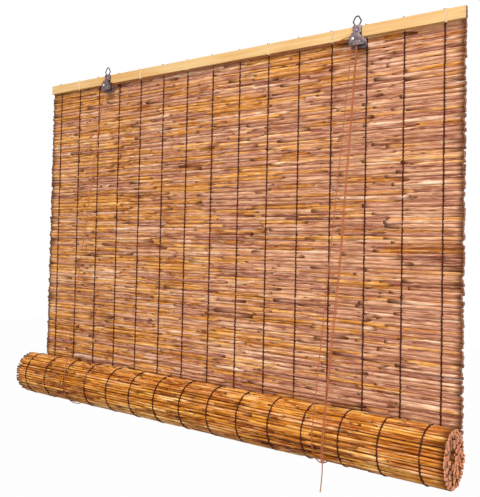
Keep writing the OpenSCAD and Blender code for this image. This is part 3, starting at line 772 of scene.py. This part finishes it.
chain_stitch, given = new_tree(
    "chain_stitch",
    **{"Threads": "Int", "Spacing": "Float", "Reed radius": "Float", "Stitch thickness": "Float"},
    **{"Stitch width": "Float", "Seed": "Int", "Material": "Material"},
)
tree = chain_stitch
threads = node(
    tree,
    "GeometryNodeDuplicateElements",
    {"Geometry": given["Geometry"], "Amount": given["Threads"]},
    domain="POINT",
)
last_thread = node(tree, "ShaderNodeMath", {0: given["Threads"], 1: 1.0}, operation="SUBTRACT")
half_count = node(tree, "ShaderNodeMath", {0: last_thread, 1: 0.5}, operation="MULTIPLY")
from_middle = node(
    tree,
    "ShaderNodeMath",
    {0: threads.node.outputs["Duplicate Index"], 1: half_count},
    operation="SUBTRACT",
)
wander = node(
    tree, "FunctionNodeRandomValue", {"Min": -WANDER, "Max": WANDER, "Seed": given["Seed"]}, data_type="FLOAT"
)
thread_x = node(
    tree, "ShaderNodeMath", {0: from_middle, 1: given["Spacing"], 2: wander}, operation="MULTIPLY_ADD"
)
spread = node(
    tree,
    "GeometryNodeSetPosition",
    {"Geometry": threads, "Offset": node(tree, "ShaderNodeCombineXYZ", {"X": thread_x})},
)
half_t = node(tree, "ShaderNodeMath", {0: given["Stitch thickness"], 1: 0.5}, operation="MULTIPLY")
stitch_r = node(tree, "ShaderNodeMath", {0: given["Reed radius"], 1: half_t}, operation="ADD")
arc_span = {"Start Angle": -STITCH_REACH, "Sweep Angle": 2 * STITCH_REACH}
arc = node(
    tree,
    "GeometryNodeCurveArc",
    {"Resolution": STITCH_POINTS, "Radius": stitch_r, **arc_span},
    mode="RADIUS",
)
strand = node(
    tree, "GeometryNodeCurvePrimitiveCircle", {"Resolution": STRAND_SIDES, "Radius": half_t}, mode="RADIUS"
)
stitch = node(
    tree, "GeometryNodeCurveToMesh", {"Curve": arc, "Profile Curve": strand, "Fill Caps": True}
)
slanted = node(
    tree,
    "GeometryNodeTransform",
    {"Geometry": stitch, "Rotation": (math.pi / 2 + STITCH_SLANT, 0, -math.pi / 2)},
)
facing = node(
    tree,
    "ShaderNodeCombineXYZ",
    {"X": node(tree, "GeometryNodeInputNamedAttribute", {"Name": "turn"}, data_type="FLOAT")},
)
flatness = node(
    tree, "ShaderNodeMath", {0: given["Stitch width"], 1: given["Stitch thickness"]}, operation="DIVIDE"
)
flat = node(tree, "ShaderNodeCombineXYZ", {"X": flatness, "Y": 1.0, "Z": 1.0})
stitched = node(
    tree,
    "GeometryNodeInstanceOnPoints",
    {"Points": spread, "Instance": slanted, "Rotation": facing, "Scale": flat},
)
put_out(tree, given, node(tree, "GeometryNodeSetShadeSmooth", {"Geometry": stitched}))


def spun_fibre(name, scale, stops, relief, roughness, gloss):
    """Thread or cord of fine fibres, 1 / scale metres wide, with painted shade between them and painted
    highlight on top.
    """
    made, tree, shader = finish_of(name)
    fibre = node(
        tree, "ShaderNodeTexNoise", {"Vector": object_place(tree, scale), "Scale": 1.0, "Detail": 2.0}
    )
    # Painted shade in the dips between fibres and painted highlight on the raised ones, from the noise of the
    # relief.
    tone = node(tree, "ShaderNodeValToRGB", {"Fac": fibre}, stops=stops)
    raised = node(tree, "ShaderNodeBump", {"Height": fibre, "Strength": relief, "Distance": 0.0003})
    fill(tree, shader, {"Base Color": tone, "Normal": raised})
    fill(tree, shader, {"Roughness": roughness, "Specular IOR Level": gloss})
    return made


# Fibres about 0.4 mm apart. Waxed cotton is dark brown, with painted shade nearly black between its fibres,
# and has a dull sheen.
waxed_cotton = spun_fibre(
    "waxed_cotton",
    (2500, 2500, 900),
    [(0.3, "#36140C"), (0.6, "#4E2014"), (0.85, "#683222")],
    relief=0.5,
    roughness=0.75,
    gloss=0.15,
)

stitch_sizes = {
    "Threads": WARPS,
    "Spacing": warp_step,
    "Reed radius": REED_R,
    "Stitch thickness": STITCH_T,
    "Stitch width": STITCH_W,
    "Seed": 3,
    "Material": waxed_cotton,
}
front_courses = [c for c in panel_courses if c[1] > roll_axis.z + TUCK]
over_top = [(mat_y, top_course, FACING_UP)]
back_courses = [(mat_y + FILLER_BACK, z, FACING_BACK) for z in panel_z]
front_points = course_points("warp_front", front_courses + over_top)
back_points = course_points("warp_back", back_courses)
warps = grow("warp_threads", front_points, chain_stitch, **stitch_sizes)
warps_back = grow("warp_threads_back", back_points, chain_stitch, **stitch_sizes)
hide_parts(*[f"warp_thread_{k:02d}" for k in range(1, WARPS + 1)])
for piece in (warps, warps_back):
    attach(piece, "head")
    shorten(piece)

# Roll loops. The same waxed threads go on round the roll's outermost turn, in closer stitches.
# They end where the turn comes back to the hanging mat.
LOOP_SWEEP = math.radians(330)
LOOP_W = 0.0025
loop_courses = [on_roll(a, r) for a, r in spiral_courses(course_step / 2, 0.0, LOOP_SWEEP)]
stitch_sizes["Stitch width"] = LOOP_W
loops = grow("roll_loops", course_points("roll_loop_courses", loop_courses), chain_stitch, **stitch_sizes)
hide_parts("roll_threads")
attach(loops, "roll")

# Warp ends. Each waxed warp thread is turned over the top course and cut off short on top of the batten.
# It is laid up of two strands, as the ties and the lift cords are, so they share one tree.
CORD_SIDES = 10
STEPS_PER_LAY = 8
laid_cord, given = new_tree("laid_cord", Radius="Float", Lay="Float", Groove="Float", Material="Material")
tree = laid_cord
path = node(tree, "GeometryNodeMeshToCurve", {"Mesh": given["Geometry"]})
rounded = node(tree, "GeometryNodeCurveSplineType", {"Curve": path}, spline_type="CATMULL_ROM")
step = node(tree, "ShaderNodeMath", {0: given["Lay"], 1: 1 / STEPS_PER_LAY}, operation="MULTIPLY")
evenly = node(tree, "GeometryNodeResampleCurve", {"Curve": rounded, "Length": step}, mode="LENGTH")
run_length = node(tree, "GeometryNodeSplineParameter").node.outputs["Length"]
turns = node(tree, "ShaderNodeMath", {0: run_length, 1: given["Lay"]}, operation="DIVIDE")
twist = node(tree, "ShaderNodeMath", {0: turns, 1: math.tau}, operation="MULTIPLY")
twisted = node(tree, "GeometryNodeSetCurveTilt", {"Curve": evenly, "Tilt": twist})
ring = node(
    tree,
    "GeometryNodeCurvePrimitiveCircle",
    {"Resolution": CORD_SIDES, "Radius": given["Radius"]},
    mode="RADIUS",
)
round_share = node(tree, "GeometryNodeSplineParameter")
lobe_angle = node(tree, "ShaderNodeMath", {0: round_share, 1: 2 * math.tau}, operation="MULTIPLY")
lobe = node(tree, "ShaderNodeMath", {0: lobe_angle}, operation="COSINE")
below_one = node(tree, "ShaderNodeMath", {0: lobe, 1: 1.0}, operation="SUBTRACT")
dent = node(tree, "ShaderNodeMath", {0: below_one, 1: given["Groove"], 2: 1.0}, operation="MULTIPLY_ADD")
ring_place = node(tree, "GeometryNodeInputPosition")
dented = node(tree, "ShaderNodeVectorMath", {0: ring_place, "Scale": dent}, operation="SCALE")
two_lobed = node(tree, "GeometryNodeSetPosition", {"Geometry": ring, "Position": dented})
cord = node(
    tree, "GeometryNodeCurveToMesh", {"Curve": twisted, "Profile Curve": two_lobed, "Fill Caps": True}
)
put_out(tree, given, node(tree, "GeometryNodeSetShadeSmooth", {"Geometry": cord}))


def polyline(name, *routes):
    """A mesh of edges along one or more routes."""
    points, edges = [], []
    for route in routes:
        edges += [(len(points) + i, len(points) + i + 1) for i in range(len(route) - 1)]
        points += [tuple(p) for p in route]
    mesh = bpy.data.meshes.new(name)
    mesh.from_pydata(points, edges, [])
    return mesh


def lay_up(name, routes, radius, lay, groove, material, body, slot, *nodes):
    """Thread, cord or wire along routes, with that groove between its two strands, for its CAD solids."""
    made = grow(
        name,
        polyline(name + "_routes", *routes),
        laid_cord,
        **{"Radius": radius, "Lay": lay, "Groove": groove, "Material": material},
    )
    if nodes:
        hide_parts(*nodes)
    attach(made, body)
    return made


def warp_x(number):
    """Where a warp thread is along X, counted from 0 at the left."""
    return mat_x - mat_w / 2 + WARP_INSET + number * warp_step


TAIL_R = 0.0007
TAIL_LAY = 0.004
TAIL_LIFT = 0.0005
THREAD_GROOVE = 0.1
TAIL_STEPS = ((0.0, 0.0, STITCH_T), (0.0004, -0.005, 0.0008), (0.0012, -0.0095, 0.0), (0.0008, -0.0125, 0.0))
tail_top = batten_top + TAIL_R + TAIL_LIFT
tail_routes = [
    [(warp_x(k) + dx, mat_y + dy, tail_top + dz) for dx, dy, dz in TAIL_STEPS] for k in range(WARPS)
]
lay_up("warp_ends", tail_routes, TAIL_R, TAIL_LAY, THREAD_GROOVE, waxed_cotton, "head", "dark_thread")

# Warp runs. The same waxed thread runs straight down the mat's face under the stitches, from the batten to the
# roll, and closes the gaps between them.
RUN_R = 0.0009
RUN_LAY = 0.05
NO_GROOVE = 0.0
run_y = mat_y - REED_R
run_ends = (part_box("head_batten")[0].z, front_courses[-1][1])
run_routes = [[(warp_x(k), run_y, z) for z in run_ends] for k in range(WARPS)]
runs = lay_up("warp_runs", run_routes, RUN_R, RUN_LAY, NO_GROOVE, waxed_cotton, "head", "dark_thread")
shorten(runs)

# Lashings. Undyed cotton thread, three turns each, binding the batten to the mat's top courses.
# Each is wound beside a warp thread, round the batten and the mat together.
TIE_R = 0.0005
TIE_LAY = 0.003
TIE_TURNS = 3
TIED_WARPS = (2, 5, 7, 10, 12, 15)
TIE_OFFSET = 0.005
SIDE_SHARES = (0.0, 0.06, 0.5, 0.94)


def two_toned(name, scale, stops, roughness, metallic=0.0):
    """A finish whose tone changes between two stops, in flecks or scuffs 1 / scale metres wide."""
    made, tree, shader = finish_of(name)
    fleck = node(tree, "ShaderNodeTexNoise", {"Vector": object_place(tree, (scale,) * 3), "Scale": 1.0})
    tone = node(tree, "ShaderNodeValToRGB", {"Fac": fleck}, stops=stops)
    fill(tree, shader, {"Base Color": tone, "Roughness": roughness, "Metallic": metallic})
    return made


# Undyed cotton is cream, soft and without gloss. Its fibres show as flecks about 0.5 mm apart.
undyed_cotton = two_toned("undyed_cotton", 1800, [(0.3, "#D8B486"), (0.6, "#EECDA0")], 0.85)

tie_low, tie_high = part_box("lashings")
tie_corners = [
    (tie_low.y + TIE_R, tie_low.z + TIE_R),
    (tie_low.y + TIE_R, tie_high.z - TIE_R),
    (tie_high.y - TIE_R, tie_high.z - TIE_R),
    (tie_high.y - TIE_R, tie_low.z + TIE_R),
]
ties = []
for warp in TIED_WARPS:
    first_x = warp_x(warp - 1) + TIE_OFFSET - TIE_TURNS * TIE_R
    route = []
    for i in range(TIE_TURNS * 4 + 1):
        y, z = tie_corners[i % 4]
        following_y, following_z = tie_corners[(i + 1) % 4]
        for share in SIDE_SHARES:
            x = first_x + (i + share) / 4 * 2 * TIE_R
            route.append((x, y + (following_y - y) * share, z + (following_z - z) * share))
    ties.append(route)
lay_up("lashing_turns", ties, TIE_R, TIE_LAY, THREAD_GROOVE, undyed_cotton, "head", "white_thread", "lashings")

# Lifters. Two stamped steel plates, bronzed dark, hold a bent wire eye, a pulley and a toothed cam between
# them. They are riveted together and screwed to the batten. The stampings' edges are rounded over by tumbling
# before they are bronzed.
PLATE_EDGE = 0.0003
SMALL_EDGE = 0.00015
EDGE_STEPS = 2
FLAT_WITHIN = math.radians(1)
ROUNDED_FROM = math.radians(35)
SHARP_FROM = math.radians(32)

# Bronzed steel is a warm dark grey, half dull, with clouds of tone about 4 mm wide left by the bath.
bronzed_steel, tree, shader = finish_of("bronzed_steel")
cloud = node(
    tree, "ShaderNodeTexNoise", {"Vector": object_place(tree, (260, 260, 260)), "Scale": 1.0, "Detail": 4.0}
)
bronze = node(
    tree,
    "ShaderNodeValToRGB",
    {"Fac": cloud},
    stops=[(0.3, "#5A4B4D"), (0.55, "#756466"), (0.8, "#89777A")],
)
rough = node(tree, "ShaderNodeMapRange", {"Value": cloud, "To Min": 0.42, "To Max": 0.58})
relief = node(tree, "ShaderNodeBump", {"Height": cloud, "Strength": 0.12, "Distance": 0.0004})
fill(tree, shader, {"Base Color": bronze, "Roughness": rough, "Normal": relief, "Metallic": 0.85})

# Drawn wire is nearly black, with a soft gloss. Zinc gives the pulley's rivet a bright, pale shine. The screw
# and the cam's rivet are bronzed like the plates, a little paler all over, in fine flecks.
dark_wire = two_toned("dark_drawn_wire", 500, [(0.35, "#1F1A1C"), (0.7, "#383033")], 0.42, 0.8)
bright_steel = two_toned("bright_zinc_steel", 900, [(0.3, "#C9C2BC"), (0.7, "#F4F0EA")], 0.28, 1.0)
dull_steel = two_toned("dull_bronzed_fixing", 900, [(0.3, "#74686C"), (0.7, "#8C7F83")], 0.45, 0.85)


def rounded_copy(name, edge, material):
    """A CAD solid with its edges rounded over by that radius, which stands for the solid."""
    source = frame["nodes"][name]
    made = in_scene(name + "_finished", source.data.copy())
    shape = bmesh.new()
    shape.from_mesh(made.data)
    bmesh.ops.remove_doubles(shape, verts=shape.verts, dist=1e-6)
    bmesh.ops.dissolve_limit(shape, angle_limit=FLAT_WITHIN, verts=shape.verts, edges=shape.edges)
    shape.to_mesh(made.data)
    shape.free()
    bevel = made.modifiers.new("edges", "BEVEL")
    bevel.width = edge
    bevel.segments = EDGE_STEPS
    bevel.limit_method = "ANGLE"
    bevel.angle_limit = ROUNDED_FROM
    made.data = run_modifiers(made)
    made.modifiers.clear()
    made.data.shade_smooth()
    made.data.set_sharp_from_angle(angle=SHARP_FROM)
    refinish(made, material)
    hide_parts(name)
    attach(made, source["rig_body"])
    return made


# The wire eye is bent to a pointed ring over two legs. One half is given, from a leg's end up to the point.
LIFTER_X = 0.306
SIDES = (("left", -LIFTER_X), ("right", LIFTER_X))
WIRE_R = 0.00115
WIRE_STEP = 0.006
EYE_HALF = [
    (0.00341, -0.0255), (0.00341, -0.018), (0.00371, -0.0155), (0.0062, -0.01056), (0.0071, -0.00912),
    (0.0072, -0.008), (0.0067, -0.0064), (0.0036, -0.001), (0.0024, 0.00075), (0.0016, 0.001),
]
for side, side_x in SIDES:
    for plate in ("back_plate", "front_plate"):
        rounded_copy(f"{side}_{plate}", PLATE_EDGE, bronzed_steel)
    for turning in ("pulley", "cam"):
        rounded_copy(f"{side}_{turning}", SMALL_EDGE, bronzed_steel)
    rounded_copy(f"{side}_pulley_rivet", SMALL_EDGE, bright_steel)
    for fixing in ("screw", "cam_rivet"):
        rounded_copy(f"{side}_{fixing}", SMALL_EDGE, dull_steel)
    left_half = [(side_x - x, 0, z) for x, z in EYE_HALF]
    right_half = [(side_x + x, 0, z) for x, z in reversed(EYE_HALF)]
    wire = (WIRE_R, WIRE_STEP, NO_GROOVE, dark_wire)
    lay_up(f"{side}_wire_eye", [left_half + right_half], *wire, "head", "bronzed_steel", f"{side}_eye")

# Lift cords. Red-brown polyester, 2 mm thick, two strands laid together. Each runs from a knot in its lifter
# down behind the mat, round under the roll as a sling and up the front to its pulley.
CORD_R = 0.001
CORD_LAY = 0.007
CORD_GROOVE = 0.11

# Laid polyester shows its filaments as streaks about 0.7 mm wide and 2 mm long, with painted shade between
# them and painted highlight on top, and little gloss.
laid_polyester = spun_fibre(
    "laid_polyester_cord",
    (1500, 1500, 500),
    [(0.3, "#884020"), (0.55, "#B26034"), (0.8, "#D28250")],
    relief=0.4,
    roughness=0.7,
    gloss=0.5,
)


def run_of_cord(name, route, body, *nodes):
    """A length of lift cord along a route, in place of its CAD solids."""
    return lay_up(name, [route], CORD_R, CORD_LAY, CORD_GROOVE, laid_polyester, body, "cord", *nodes)


def in_steps(start, end, steps):
    """Evenly spaced points on a straight line."""
    start, end = Vector(start), Vector(end)
    return [start.lerp(end, i / steps) for i in range(steps + 1)]


def millimetres(*points):
    """A route written in millimetres, as the CAD source writes it, in metres."""
    return [Vector(p) / 1000 for p in points]


# Where the cords run beside each lifter's middle, and the bend by which the rear run enters the lifter.
SLING_LEFT = 0.03
SLING_R = 0.05095
SLING_POINTS = 40
REAR_LEFT = 0.003
REAR_Z = -0.05113
REAR_BEND = 0.003
REAR_BEND_CUT = 0.0009
REAR_INSIDE_Y = (0.001, -0.003)
PULLEY_LEFT = 0.004
PATH_R = 0.005
GROOVE_Y = -0.00154
LIFT_Z = -0.0475
DROP_POINTS = 16
TURN_EDGE = 0.0001
rear_y = roll_axis.y + SLING_R
lift_y, lift_z = GROOVE_Y - roll_axis.y, LIFT_Z - roll_axis.z
front_angle = math.acos(SLING_R / math.hypot(lift_y, lift_z)) - math.atan2(lift_y, lift_z)


def on_sling(angle):
    """A point of the sling, in Y and Z. The angle runs from the top of the roll towards the front."""
    return roll_axis.y - SLING_R * math.sin(angle), roll_axis.z + SLING_R * math.cos(angle)


for side, side_x in SIDES:
    sling_x = side_x - SLING_LEFT
    sweep = 1.5 * math.pi - front_angle
    sling_angles = [front_angle + sweep * i / SLING_POINTS for i in range(SLING_POINTS + 1)]
    sling_route = [(sling_x, *on_sling(angle)) for angle in sling_angles]
    run_of_cord(f"{side}_sling_cord", sling_route, "slings", f"{side}_sling")

    front_y, front_z = on_sling(front_angle)
    lift_top = (side_x - PULLEY_LEFT - PATH_R, GROOVE_Y, LIFT_Z)
    lift_route = in_steps((sling_x, front_y, front_z), lift_top, DROP_POINTS)
    lift_run = run_of_cord(f"{side}_lift_run", lift_route, "head", f"{side}_lift_cord")
    shorten(lift_run)

    rear_x = side_x - REAR_LEFT
    rear_route = in_steps((sling_x, rear_y, roll_axis.z), (rear_x, rear_y, REAR_Z - REAR_BEND), DROP_POINTS)
    rear_route.append(Vector((rear_x, rear_y - REAR_BEND_CUT, REAR_Z - REAR_BEND_CUT)))
    rear_route += [Vector((rear_x, y, REAR_Z)) for y in (rear_y - REAR_BEND, *REAR_INSIDE_Y)]
    rear_run = run_of_cord(f"{side}_rear_run", rear_route, "head", f"{side}_rear_cord")
    shorten(rear_run)

for turn_node in ("left_cord_turn", "right_cord_turns"):
    rounded_copy(turn_node, TURN_EDGE, laid_polyester)

# Cross cord. The left side's cord leaves its pulley, runs along under the batten and enters the right lifter,
# so that one pull lifts both sides. It is the same laid polyester.
cross_left = millimetres(
    (-4, -1.5, -35), (4, -1.5, -35), (14, -1.5, -35.6), (22, 0.5, -37.2), (32, 5, -38.92), (42, 6, -38.92)
)
cross_right = millimetres(
    (-56, 6, -38.92), (-42, 4, -38.92), (-32, 0, -37.6), (-24, -3.5, -35.8), (-16, -5.2, -35), (-4, -5.2, -35)
)
from_left = Vector((-LIFTER_X, 0, 0))
from_right = Vector((LIFTER_X, 0, 0))
cross_route = [from_left + p for p in cross_left] + [from_right + p for p in cross_right]
run_of_cord("cross_run", cross_route, "head", "cross_cord")

# Pull ends. Both cords leave the right lifter together and hang down over the front of the roll.
# The left one ends in a knot round the right one, whose bare tail hangs 50 mm lower.
KNOT_EDGE = 0.0004
pull_left_route = millimetres(
    (1, -5.2, -40), (1, -5.2, -50), (1, -5.4, -58), (1, -7.5, -75), (0.5, -15, -140),
    (0, -23.5, -210), (-1, -31.5, -280), (-1.5, -39.5, -350), (-2, -47.5, -420), (-4.5, -55.5, -490),
    (-7, -63.5, -560), (-9.5, -71.5, -630), (-10.5, -77.5, -680), (-10.7, -80.6, -705),
)
pull_right_route = millimetres(
    (1, -1.5, -40), (1, -1.5, -50), (1, -1.8, -58), (1.2, -4.5, -75), (1.5, -13, -140),
    (1.5, -22, -210), (1, -30.5, -280), (0.5, -39, -350), (0, -47, -420), (-2, -55, -490),
    (-4.5, -63, -560), (-7, -71, -630), (-8, -77.5, -680), (-8.2, -80.6, -705),
)
left_tip_route = millimetres(
    (-10.7, -80.7, -705.5), (-11, -81.5, -712), (-11.4, -82, -720), (-11.8, -82.2, -730),
    (-11.8, -82.2, -740), (-11.8, -82.2, -748),
)
right_tip_route = millimetres(
    (-8.2, -80.7, -705.5), (-8.5, -81.5, -712), (-9, -82, -720), (-9.4, -82.2, -730),
    (-9.4, -82.2, -748), (-9.4, -82.2, -758), (-9.6, -82.2, -770), (-10.7, -82.2, -785), (-12.5, -82, -802),
)


pull_knot = rounded_copy("pull_knot", KNOT_EDGE, laid_polyester)
for side, upper_route, tip_route, far_end, knots in (
    ("left", pull_left_route, left_tip_route, "knot", [pull_knot]),
    ("right", pull_right_route, right_tip_route, "bare", []),
):
    upper_route = [from_right + p for p in upper_route]
    tip_route = [from_right + p for p in tip_route]
    upper = run_of_cord(f"pull_run_{side}", upper_route, "head", f"pull_cord_{side}")
    shorten(upper)
    tail = run_of_cord(f"pull_tail_{side}", tip_route, "slings", f"pull_tip_{side}")

# Stage. A white floor well below the hanging blind, a white surround, and two large soft lamps.
# They give the plain, even light of the photograph and aren't part of the blind.
FLOOR_Z = -1.3
FLOOR_HALF = 6.0
FLOOR_GLOW = 0.985
AMBIENT = 0.44


def seen_share(tree):
    """1 for what the camera sees, directly, in a reflection or through glass, and 0 for light on the blind."""
    rays = node(tree, "ShaderNodeLightPath").node.outputs
    shown = node(
        tree, "ShaderNodeMath", {0: rays["Is Camera Ray"], 1: rays["Is Glossy Ray"]}, operation="MAXIMUM"
    )
    return node(tree, "ShaderNodeMath", {0: shown, 1: rays["Is Transmission Ray"]}, operation="MAXIMUM")


floor_mesh = bpy.data.meshes.new("floor")
floor_corners = [(x * FLOOR_HALF, y * FLOOR_HALF) for x, y in ((-1, -1), (1, -1), (1, 1), (-1, 1))]
floor_mesh.from_pydata([(x, y, FLOOR_Z) for x, y in floor_corners], [], [(0, 1, 2, 3)])
floor = in_scene("floor", floor_mesh)

# A matt white floor that is shown nearly white, with a trace of its own shading for the blind's shadow.
white_floor, tree, _ = finish_of("matt_white_floor")
tree.nodes.clear()
matt = node(tree, "ShaderNodeBsdfDiffuse", {"Color": linear("#909090")})
glow = node(tree, "ShaderNodeEmission", {"Color": linear("#FFFFFF"), "Strength": 1.0})
share = node(tree, "ShaderNodeMath", {0: seen_share(tree), 1: FLOOR_GLOW}, operation="MULTIPLY")
surface = node(tree, "ShaderNodeMixShader", {"Fac": share, 1: matt, 2: glow})
node(tree, "ShaderNodeOutputMaterial", {"Surface": surface})
floor_mesh.materials.append(white_floor)

# The surround is shown white, and lights the blind softly from all round.
world = bpy.data.worlds.new("white_studio")
bpy.context.scene.world = world
world.use_nodes = True
tree = world.node_tree
tree.nodes.clear()
strength = node(tree, "ShaderNodeMapRange", {"Value": seen_share(tree), "To Min": AMBIENT, "To Max": 1.0})
background = node(tree, "ShaderNodeBackground", {"Color": linear("#FFFFFF"), "Strength": strength})
node(tree, "ShaderNodeOutputWorld", {"Surface": background})


def lamp(name, place, target, size, power):
    """A square soft lamp that shines from a place towards a target."""
    light = bpy.data.lights.new(name, "AREA")
    light.size = size
    light.energy = power
    made = in_scene(name, light)
    made.location = place
    made.rotation_euler = (Vector(target) - Vector(place)).to_track_quat("-Z", "Y").to_euler()


MAT_MIDDLE = (0.0, 0.0, -0.4)
lamp("key_lamp", (0.4, -2.5, 2.2), MAT_MIDDLE, size=1.6, power=119)
lamp("fill_lamp", (2.2, -2.2, -0.6), MAT_MIDDLE, size=1.8, power=50)

# Camera, in front of the blind's right half and level with its middle, as in the photograph. The photograph is
# cropped, so its optical centre lies left of and above its middle.
CAMERA_PLACE = Vector((0.8619, -1.1565, -0.4079))
CAMERA_YAW = math.radians(41.754)
CAMERA_PITCH = math.radians(1.867)
CAMERA_ROLL = math.radians(1.421)
FOCAL_PX = 715.43
IMAGE_HEIGHT_PX = 497
CENTRE_OFF_PX = (-91.96, -25.73)
SENSOR_MM = 36.0

camera_data = bpy.data.cameras.new("camera")
camera_data.sensor_fit = "VERTICAL"
camera_data.sensor_height = SENSOR_MM
camera_data.lens = FOCAL_PX * SENSOR_MM / IMAGE_HEIGHT_PX
camera_data.shift_x = -CENTRE_OFF_PX[0] / IMAGE_HEIGHT_PX
camera_data.shift_y = CENTRE_OFF_PX[1] / IMAGE_HEIGHT_PX
camera = in_scene("camera", camera_data)
level = Matrix.Rotation(CAMERA_YAW, 4, "Z") @ Matrix.Rotation(math.pi / 2 + CAMERA_PITCH, 4, "X")
camera.matrix_world = Matrix.Translation(CAMERA_PLACE) @ level @ Matrix.Rotation(CAMERA_ROLL, 4, "Z")
bpy.context.scene.camera = camera
bpy.context.scene.view_settings.view_transform = "Standard"
